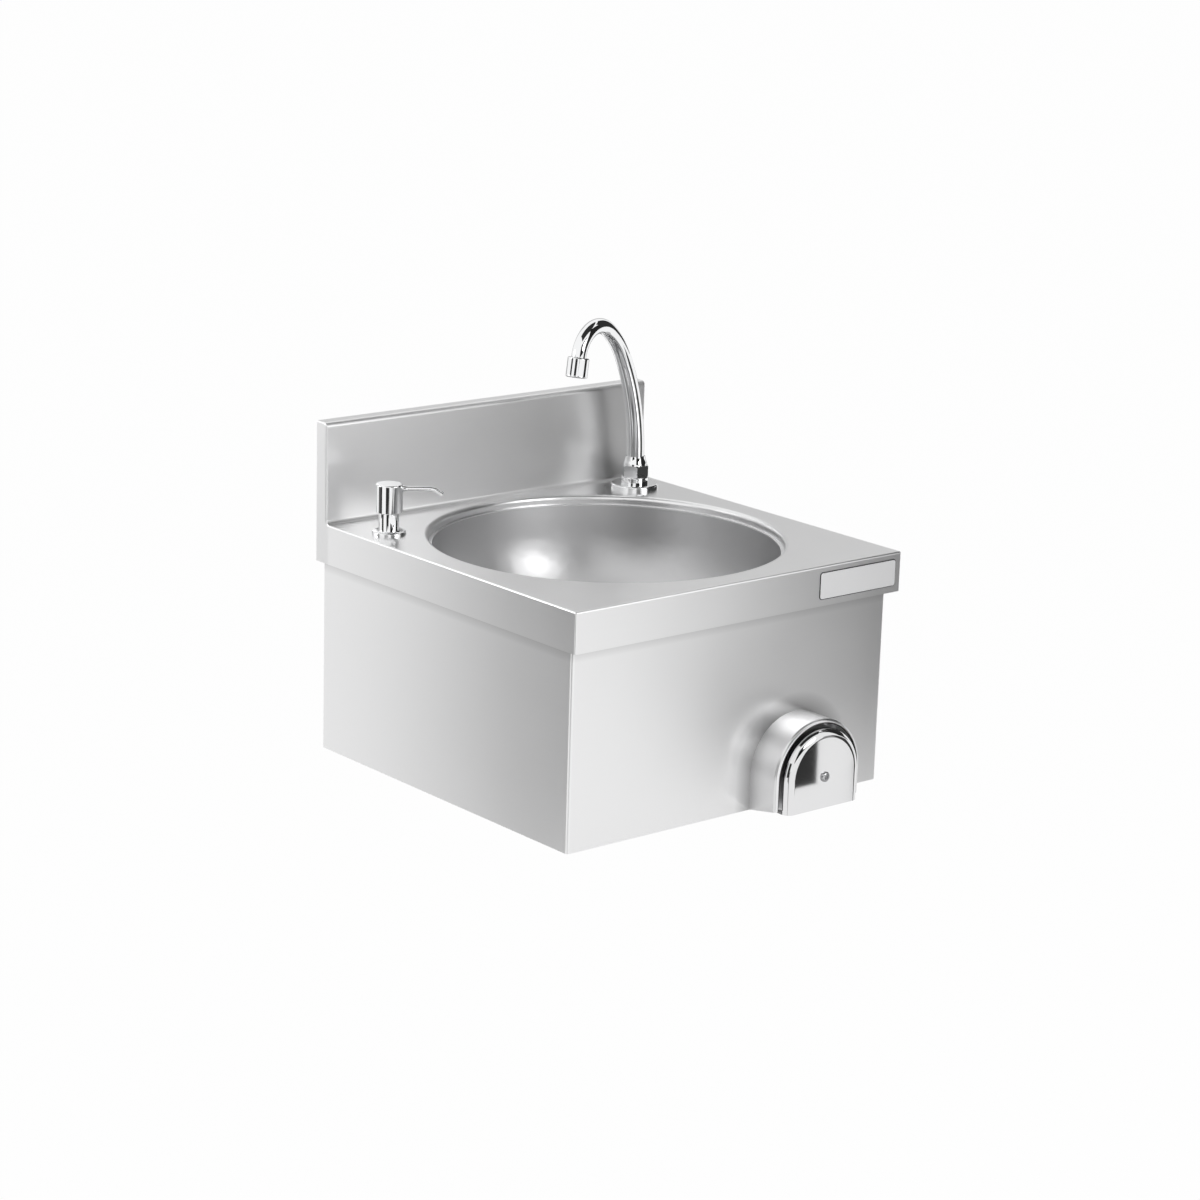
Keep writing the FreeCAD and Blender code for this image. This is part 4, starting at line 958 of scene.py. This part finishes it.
# ---------------------------------------------------------------- knee control
@dataclass
class KneeControl:
    """Collar on the skirt, the pushed cup in it and the valve behind them."""

    x: float = 81.0
    z: float = -195.0
    flange_radius: float = 46.5
    flange_y: float = -389.6
    spring_foot: float = -326.0

    def flange_screws(self) -> None:
        """Three pan-head screws of the collar's back flange."""
        head = lathe("collar_pan_head", [(0, -2.4), (2.4, -2.38), (3.0, -2.1), (3.4, -1.4),
                                         (3.6, -0.5), (3.6, 0), (2.0, 0), (2.0, 9.0), (0, 9.0)],
                     RAIL, sides=28)
        spots = []
        for turn in (30.0, 90.0, 150.0):
            a = radians(turn)
            spots.append(row(self.x + self.flange_radius * cos(a), self.flange_y,
                             self.z + self.flange_radius * sin(a)))
        pan_screws("collar_pan_screws", spots, head, "collar_screws", radians(-90.0))

    def spring(self) -> None:
        """Spring behind the poppet, set on the basin; the real one shortens to half as the cup is
        pushed in.
        """
        foot = row(self.x, self.spring_foot, self.z)
        piece = coil_spring("valve_coil", foot, Vector((0, -1, 0)), (7.0, 0.8, 20.0), 6.0)
        hand_over(piece, BASIN, RAIL, "valve_spring")
        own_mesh(piece)

    def build(self) -> None:
        """Dresses the knee control and its valve."""
        refine("knee_collar", COLLAR)
        refine("knee_pusher", BUFFED)
        refine("pusher_screw", SCREW)
        refine("push_rod", MIRROR)
        self.flange_screws()
        refine("collar_nuts", RAIL)
        for node in ("valve_body", "valve_cap", "valve_poppet", "valve_locknut"):
            refine(node, BRASS)
        dress("rod_seal", RUBBER)
        dress("poppet_washer", RUBBER)
        self.spring()


# ---------------------------------------------------------------- mixing valve and hose
@dataclass
class WaterPath:
    """Mixing valve with its two inlets, and the pipes from it to the spout."""

    y: float = -339.0
    z: float = -195.0
    inlets: tuple[float, float] = (-36.0, 4.0)
    inlet_radius: float = 10.48
    inlet_pitch: float = 1.814
    inlet_foot: float = -241.0
    hose_radius: float = 6.0
    strands: int = 14

    def inlet_threads(self) -> None:
        """G 1/2 threads of the hot and the cold inlet."""
        for x, name in zip(self.inlets, ("hot_inlet_thread", "cold_inlet_thread")):
            thread_piece(name, BRASS, row(x, self.y, self.inlet_foot + 1.4),
                         self.inlet_radius, self.inlet_pitch, 6.0)

    def route(self) -> list[Vector]:
        """Centre line of the hose in the frame."""
        corners = [row(111.0, -361.0, -195.0), row(157.0, -361.0, -195.0),
                   row(157.0, -54.0, -195.0), row(157.0, -54.0, -60.0)]
        return bent_line(corners, [0.034, 0.070], 5.0)

    def braid(self) -> None:
        """Wire braid wound both ways round the hose, on a rubber core."""
        tree = Growth("hose braid")
        strands = tree.number("Strands", 14)
        radius = tree.number("Radius", 0.006)
        turns = tree.number("Turns", 22.0)
        steps = tree.number("Steps", 700)
        line = tree.add("GeometryNodeMeshToCurve", {"Mesh": tree.entry.outputs["Geometry"]})
        wires = tree.add("GeometryNodeJoinGeometry")
        for way in (1.0, -1.0):
            straight = tree.add("GeometryNodeResampleCurve", {"Curve": line.outputs[0],
                                                              "Count": steps})
            many = tree.add("GeometryNodeDuplicateElements", {"Geometry": straight.outputs[0],
                                                              "Amount": strands},
                            domain="SPLINE")
            along = tree.add("GeometryNodeSplineParameter").outputs["Factor"]
            share = tree.sum("DIVIDE", many.outputs["Duplicate Index"], strands)
            wound = tree.sum("MULTIPLY", along, tree.sum("MULTIPLY", turns, way))
            angle = tree.sum("MULTIPLY", tree.sum("ADD", wound, share), 2 * pi)
            sample = tree.add("GeometryNodeSampleCurve", {"Curves": line.outputs[0],
                                                          "Factor": along},
                              mode="FACTOR", use_all_curves=True)
            normal = sample.outputs["Normal"]
            side = tree.vector("CROSS_PRODUCT", sample.outputs["Tangent"], normal)
            weave = tree.sum("MULTIPLY", tree.sum("SINE", tree.sum("MULTIPLY", angle, strands)),
                             0.00012 * way)
            reach = tree.sum("ADD", radius, weave)
            out = tree.vector("ADD",
                              tree.vector("SCALE", normal, tree.sum("COSINE", angle)),
                              tree.vector("SCALE", side, tree.sum("SINE", angle)))
            spot = tree.vector("ADD", sample.outputs["Position"],
                               tree.vector("SCALE", out, reach))
            placed = tree.add("GeometryNodeSetPosition", {"Geometry": many.outputs[0],
                                                          "Position": spot})
            tree.tree.links.new(placed.outputs[0], wires.inputs[0])
        strand = tree.add("GeometryNodeCurvePrimitiveCircle", {"Resolution": 4,
                                                               "Radius": 0.00052})
        mesh = tree.add("GeometryNodeCurveToMesh", {"Curve": wires.outputs[0],
                                                    "Profile Curve": strand.outputs[0],
                                                    "Fill Caps": True})
        tree.close(mesh.outputs[0], BRAID)
        inner = self.route()
        piece = tree.run(points_object("route", inner, True), "hose_braid_wires",
                         Strands=self.strands, Radius=(self.hose_radius - 0.55) * MM)
        hand_over(piece, BASIN, BRAID, "spout_hose")
        radius = self.hose_radius - 0.7
        hand_over(round_bar("hose_core", inner, RUBBER, (radius, radius), 32), BASIN, RUBBER)

    def build(self) -> None:
        """Dresses and adds the mixing valve, its inlets and the hose."""
        for node in ("mixer_body", "hot_check_valve", "cold_check_valve", "mixer_cartridge",
                     "mixer_spindle", "link_pipe", "link_nuts", "hose_nuts"):
            refine(node, BRASS)
        refine("mixer_bracket", RAIL)
        refine("mixer_knob", BLACK)
        for node in ("hot_check_disc", "cold_check_disc"):
            dress(node, WHITE)
        self.inlet_threads()
        self.braid()


# ---------------------------------------------------------------- spout
@dataclass
class Spout:
    """Swivel gooseneck with its cover plate, shank, nut and aerator."""

    x: float = 157.0
    y: float = -54.0
    turn: float = 17.0
    rise: float = 34.5
    arcs: tuple[tuple[float, float], ...] = ((204.0, 32.5), (94.0, 24.0), (32.5, 113.5))
    foot_radius: float = 9.0
    tip_radius: float = 7.4
    start: float = 22.8
    body: str = "spout"

    def centre_line(self) -> list[Vector]:
        """Points of the tube's centre line in the frame, foot to tip."""
        flat = [(0.0, self.start), (0.0, (self.start + self.rise) / 2)]
        reach, height, lean = 0.0, self.rise, 0.0
        for radius, turn in self.arcs:
            steps = max(8, round(turn / 3.0 + radius * radians(turn) / 4.0))
            centre = (reach + radius * cos(lean), height - radius * sin(lean))
            for k in range(steps):
                a = lean + radians(turn) * k / steps
                flat.append((centre[0] - radius * cos(a), centre[1] + radius * sin(a)))
            lean += radians(turn)
            reach = centre[0] - radius * cos(lean)
            height = centre[1] + radius * sin(lean)
        flat.append((reach, height))
        heading = radians(180.0 + self.turn)
        return [row(self.x + r * cos(heading), self.y + r * sin(heading), h) for r, h in flat]

    def tube(self) -> None:
        """Tapered gooseneck tube."""
        piece = round_bar("gooseneck_tube", self.centre_line(), CHROME,
                          (self.foot_radius, self.tip_radius), 72)
        settle(piece.data, CHROME, 40.0)
        hand_over(piece, self.body, CHROME, "gooseneck_spout")

    def build(self) -> None:
        """Dresses and adds the spout."""
        self.tube()
        for node in ("spout_base", "spout_shank", "spout_nut", "aerator_housing"):
            refine(node, CHROME)
        refine("aerator_insert", WHITE)
        refine("spout_locknut", BRASS)
        for node in ("base_gasket", "spout_orings", "spout_washer"):
            dress(node, RUBBER)
        dress("retaining_ring", RAIL)


# ---------------------------------------------------------------- soap dispenser
@dataclass
class SoapDispenser:
    """Deck-mounted soap pump with its bottle below the deck."""

    x: float = -169.0
    y: float = -76.5
    bowl_y: float = -200.0
    nozzle_radius: float = 2.4
    nozzle_z: float = 44.0
    reach: float = 51.0
    drop: float = 5.0
    bend: float = 18.0
    spring_foot: float = -56.0

    def nozzle(self) -> None:
        """Thin bent tube of the pump."""
        heading = atan2(self.bowl_y - self.y, -self.x)

        def spot(out: float, height: float) -> Vector:
            """Point on the nozzle's own plane."""
            return row(self.x + out * cos(heading), self.y + out * sin(heading), height)

        corners = [spot(8.0, self.nozzle_z), spot(self.reach - 8.0, self.nozzle_z),
                   spot(self.reach, self.nozzle_z - self.drop)]
        line = bent_line(corners, [self.bend * MM], 3.0)
        piece = round_bar("nozzle_tube", line, CHROME, (self.nozzle_radius,) * 2, 40)
        settle(piece.data, CHROME, 40.0)
        hand_over(piece, "pump_button", CHROME)

    def spring(self) -> None:
        """Spring under the piston, set on the basin; the real one shortens by 14 of its 30 mm as
        the head is pressed.
        """
        foot = row(self.x, self.y, self.spring_foot)
        piece = coil_spring("pump_coil", foot, Vector((0, 0, 1)), (5.6, 0.6, 30.0), 10.0)
        hand_over(piece, BASIN, RAIL, "pump_spring")
        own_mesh(piece)

    def build(self) -> None:
        """Dresses and adds the soap dispenser."""
        for node in ("soap_collar", "pump_head", "soap_nozzle"):
            refine(node, CHROME)
        refine("soap_bottle", WHITE)
        refine("soap_ring_nut", BLACK)
        for node in ("pump_cylinder", "pump_stem", "dip_tube"):
            refine(node, WHITE)
        self.spring()


# ---------------------------------------------------------------- studio
@dataclass
class Studio:
    """Camera, lamps, floor and the cards that the metal mirrors."""

    yaw: float = 39.854
    pitch: float = 15.088
    roll: float = 1.7
    focal_px: float = 3257.4
    image_px: float = 1200.0
    eye: tuple[float, float, float] = (-1.95307, -2.53233, 0.70636)
    sensor_mm: float = 36.0
    floor_z: float = -0.80
    floor_size: float = 60.0
    floor_glow: float = 0.96        # share of its own light where the camera sees the floor
    soft_light: float = 0.75
    cards: tuple[tuple[str, tuple, tuple, float], ...] = (
        ("card right", (1.03, -1.35, -0.79), (2.4, -1.35, -0.10), 0.05),
        ("card right inner", (0.82, -1.35, -0.59), (1.03, -1.35, -0.10), 0.3),
        ("card right near", (0.42, -0.62, -0.15), (2.4, -0.62, 0.9), 0.02),
        ("card side", (1.3, -0.62, 0.0), (1.3, 0.35, 1.5), 0.03),
        ("card front", (-0.9, -2.0, 0.25), (0.7, -2.0, 1.5), 0.02),
        ("card above", (-0.7, -1.2, 1.5), (1.0, 0.3, 1.5), 0.03),
        ("card left", (-1.0, 0.30, -0.79), (-1.0, 0.76, -0.10), 0.12),
        ("card left middle", (-1.05, 0.05, -0.36), (-1.05, 0.45, 0.3), 0.03),
        ("card left front", (-1.05, -1.15, -0.36), (-1.05, -0.5, 0.3), 0.03),
        ("card back", (0.2, 1.3, -0.10), (2.2, 1.3, 1.0), 0.55),
        ("card patch", (0.284, -0.733, -0.386), (0.359, -0.733, -0.30), 0.04),
        ("card left low", (-2.4, -1.35, -0.79), (-1.03, -1.35, -0.10), 0.25),
        ("card right low", (1.35, 0.45, -0.79), (1.35, 1.9, -0.10), 0.25),
        ("card wall side", (-0.9, 2.0, -0.79), (1.5, 2.0, -0.05), 0.45),
        ("card floor front", (-0.8, -1.15, -0.785), (0.75, -0.5, -0.785), 0.5),
        ("card floor left", (-0.95, -0.45, -0.785), (-0.3, 0.3, -0.785), 0.5),
        ("card floor right", (0.3, -0.45, -0.785), (0.95, 0.3, -0.785), 0.5))

    def camera(self) -> None:
        """Camera at the photograph's viewing angle."""
        yaw, pitch, roll = (radians(a) for a in (self.yaw, self.pitch, self.roll))
        ahead = Vector((sin(yaw) * cos(pitch), cos(yaw) * cos(pitch), -sin(pitch)))
        right = Vector((cos(yaw), -sin(yaw), 0.0))
        up = right.cross(ahead)
        leaned_right = right * cos(roll) + up * sin(roll)
        leaned_up = up * cos(roll) - right * sin(roll)
        frame_axes = Matrix((leaned_right, leaned_up, -ahead)).transposed()
        lens = bpy.data.cameras.new("camera")
        lens.sensor_width = self.sensor_mm
        lens.lens = self.focal_px * self.sensor_mm / self.image_px
        lens.clip_end = 60.0
        camera = bpy.data.objects.new("camera", lens)
        camera.matrix_world = Matrix.Translation(self.eye) @ frame_axes.to_4x4()
        bpy.context.scene.collection.objects.link(camera)
        bpy.context.scene.camera = camera

    def world(self) -> None:
        """Plain light from all round, white where the camera or a mirror sees it."""
        world = bpy.data.worlds.new("studio light")
        bpy.context.scene.world = world
        shader = Shader(world)
        out = shader.add("ShaderNodeOutputWorld")
        blend = shader.add("ShaderNodeMixShader")
        shader.link(shader.seen(), blend.inputs[0])
        for k, strength in ((1, self.soft_light), (2, 1.0)):
            glow = shader.add("ShaderNodeBackground")
            glow.inputs["Color"].default_value = (1.0, 1.0, 1.0, 1.0)
            glow.inputs["Strength"].default_value = strength
            shader.link(glow.outputs[0], blend.inputs[k])
        shader.link(blend.outputs[0], out.inputs["Surface"])

    def floor(self) -> None:
        """Wide pale floor that keeps a soft shadow of the basin."""
        bpy.ops.mesh.primitive_plane_add(size=self.floor_size, location=(0, 0, self.floor_z))
        floor = bpy.context.object
        floor.name = "floor"
        made = bpy.data.materials.new("pale floor")
        shader = Shader(made)
        out = shader.add("ShaderNodeOutputMaterial")
        matt = shader.add("ShaderNodeBsdfDiffuse")
        matt.inputs["Color"].default_value = (0.93, 0.93, 0.93, 1.0)
        glow = shader.add("ShaderNodeEmission")
        glow.inputs["Strength"].default_value = 1.0
        blend = shader.add("ShaderNodeMixShader")
        shader.link(shader.math("MULTIPLY", shader.seen(), self.floor_glow), blend.inputs[0])
        shader.link(matt.outputs[0], blend.inputs[1])
        shader.link(glow.outputs[0], blend.inputs[2])
        shader.link(blend.outputs[0], out.inputs["Surface"])
        floor.data.materials.append(made)

    def card(self, name: str, low: tuple, high: tuple, grey: float) -> None:
        """A plain upright or level card that only mirrors see.

        Args:
            name: the card's name.
            low: one corner in metres.
            high: the opposite corner; the two share one coordinate.
            grey: how light it is, from 0 to 1.
        """
        flat = [k for k in range(3) if low[k] == high[k]][0]
        first, second = [k for k in range(3) if k != flat]
        corners = []
        for a, b in ((low, low), (high, low), (high, high), (low, high)):
            corner = list(low)
            corner[first], corner[second] = a[first], b[second]
            corners.append(corner)
        made = bpy.data.materials.new(name)
        shader = Shader(made)
        out = shader.add("ShaderNodeOutputMaterial")
        glow = shader.add("ShaderNodeEmission")
        glow.inputs["Color"].default_value = (grey, grey, grey, 1.0)
        shader.link(glow.outputs[0], out.inputs["Surface"])
        mesh = bpy.data.meshes.new(name)
        mesh.from_pydata(corners, [], [(0, 1, 2, 3)])
        mesh.materials.append(made)
        card = as_object(name, mesh)
        for kind in ("camera", "diffuse", "shadow", "transmission", "volume_scatter"):
            setattr(card, "visible_" + kind, False)

    def lamp(self, name: str, centre: tuple, towards: tuple, size: float, power: float,
             spared: tuple[str, ...] = ()) -> None:
        """A soft square lamp.

        Args:
            name: the lamp's name.
            centre: where it hangs, in metres.
            towards: the point that it faces.
            size: length of its side in metres.
            power: its power in watts.
            spared: pieces that it doesn't light, as a flag on a stand would shade them.
        """
        light = bpy.data.lights.new(name, "AREA")
        light.size = size
        light.energy = power
        lamp = bpy.data.objects.new(name, light)
        ahead = (Vector(towards) - Vector(centre)).normalized()
        lamp.matrix_world = (Matrix.Translation(centre)
                             @ ahead.to_track_quat("-Z", "Y").to_matrix().to_4x4())
        bpy.context.scene.collection.objects.link(lamp)
        if spared:
            shaded = bpy.data.collections.new("shaded pieces")
            for piece in spared:
                shaded.objects.link(bpy.data.objects[piece])
            lamp.light_linking.receiver_collection = shaded
            for item in shaded.collection_objects:
                item.light_linking.link_state = "EXCLUDE"

    def build(self) -> None:
        """Sets up everything round the basin."""
        self.camera()
        self.world()
        self.floor()
        for name, low, high, grey in self.cards:
            self.card(name, low, high, grey)
        self.lamp("key lamp", (0.37, -1.9, 0.66), (0.0, -0.2, -0.1), 0.8, 8.0,
                  ("smooth_knee_collar",))
        self.lamp("fill lamp", (-1.3, 0.85, 0.45), (0.0, -0.2, -0.1), 0.4, 3.0)
        bpy.context.scene.view_settings.view_transform = "Standard"


def main() -> None:
    """Builds the basin's looks in order."""
    logging.basicConfig(level=logging.INFO, format="%(name)s: %(message)s")
    for part in (SheetWork(), BowlAndWaste(), KneeControl(), WaterPath(), Spout(),
                 SoapDispenser(), Studio()):
        LOG.info("building %s", type(part).__name__)
        part.build()


if __name__ == "__main__":
    main()
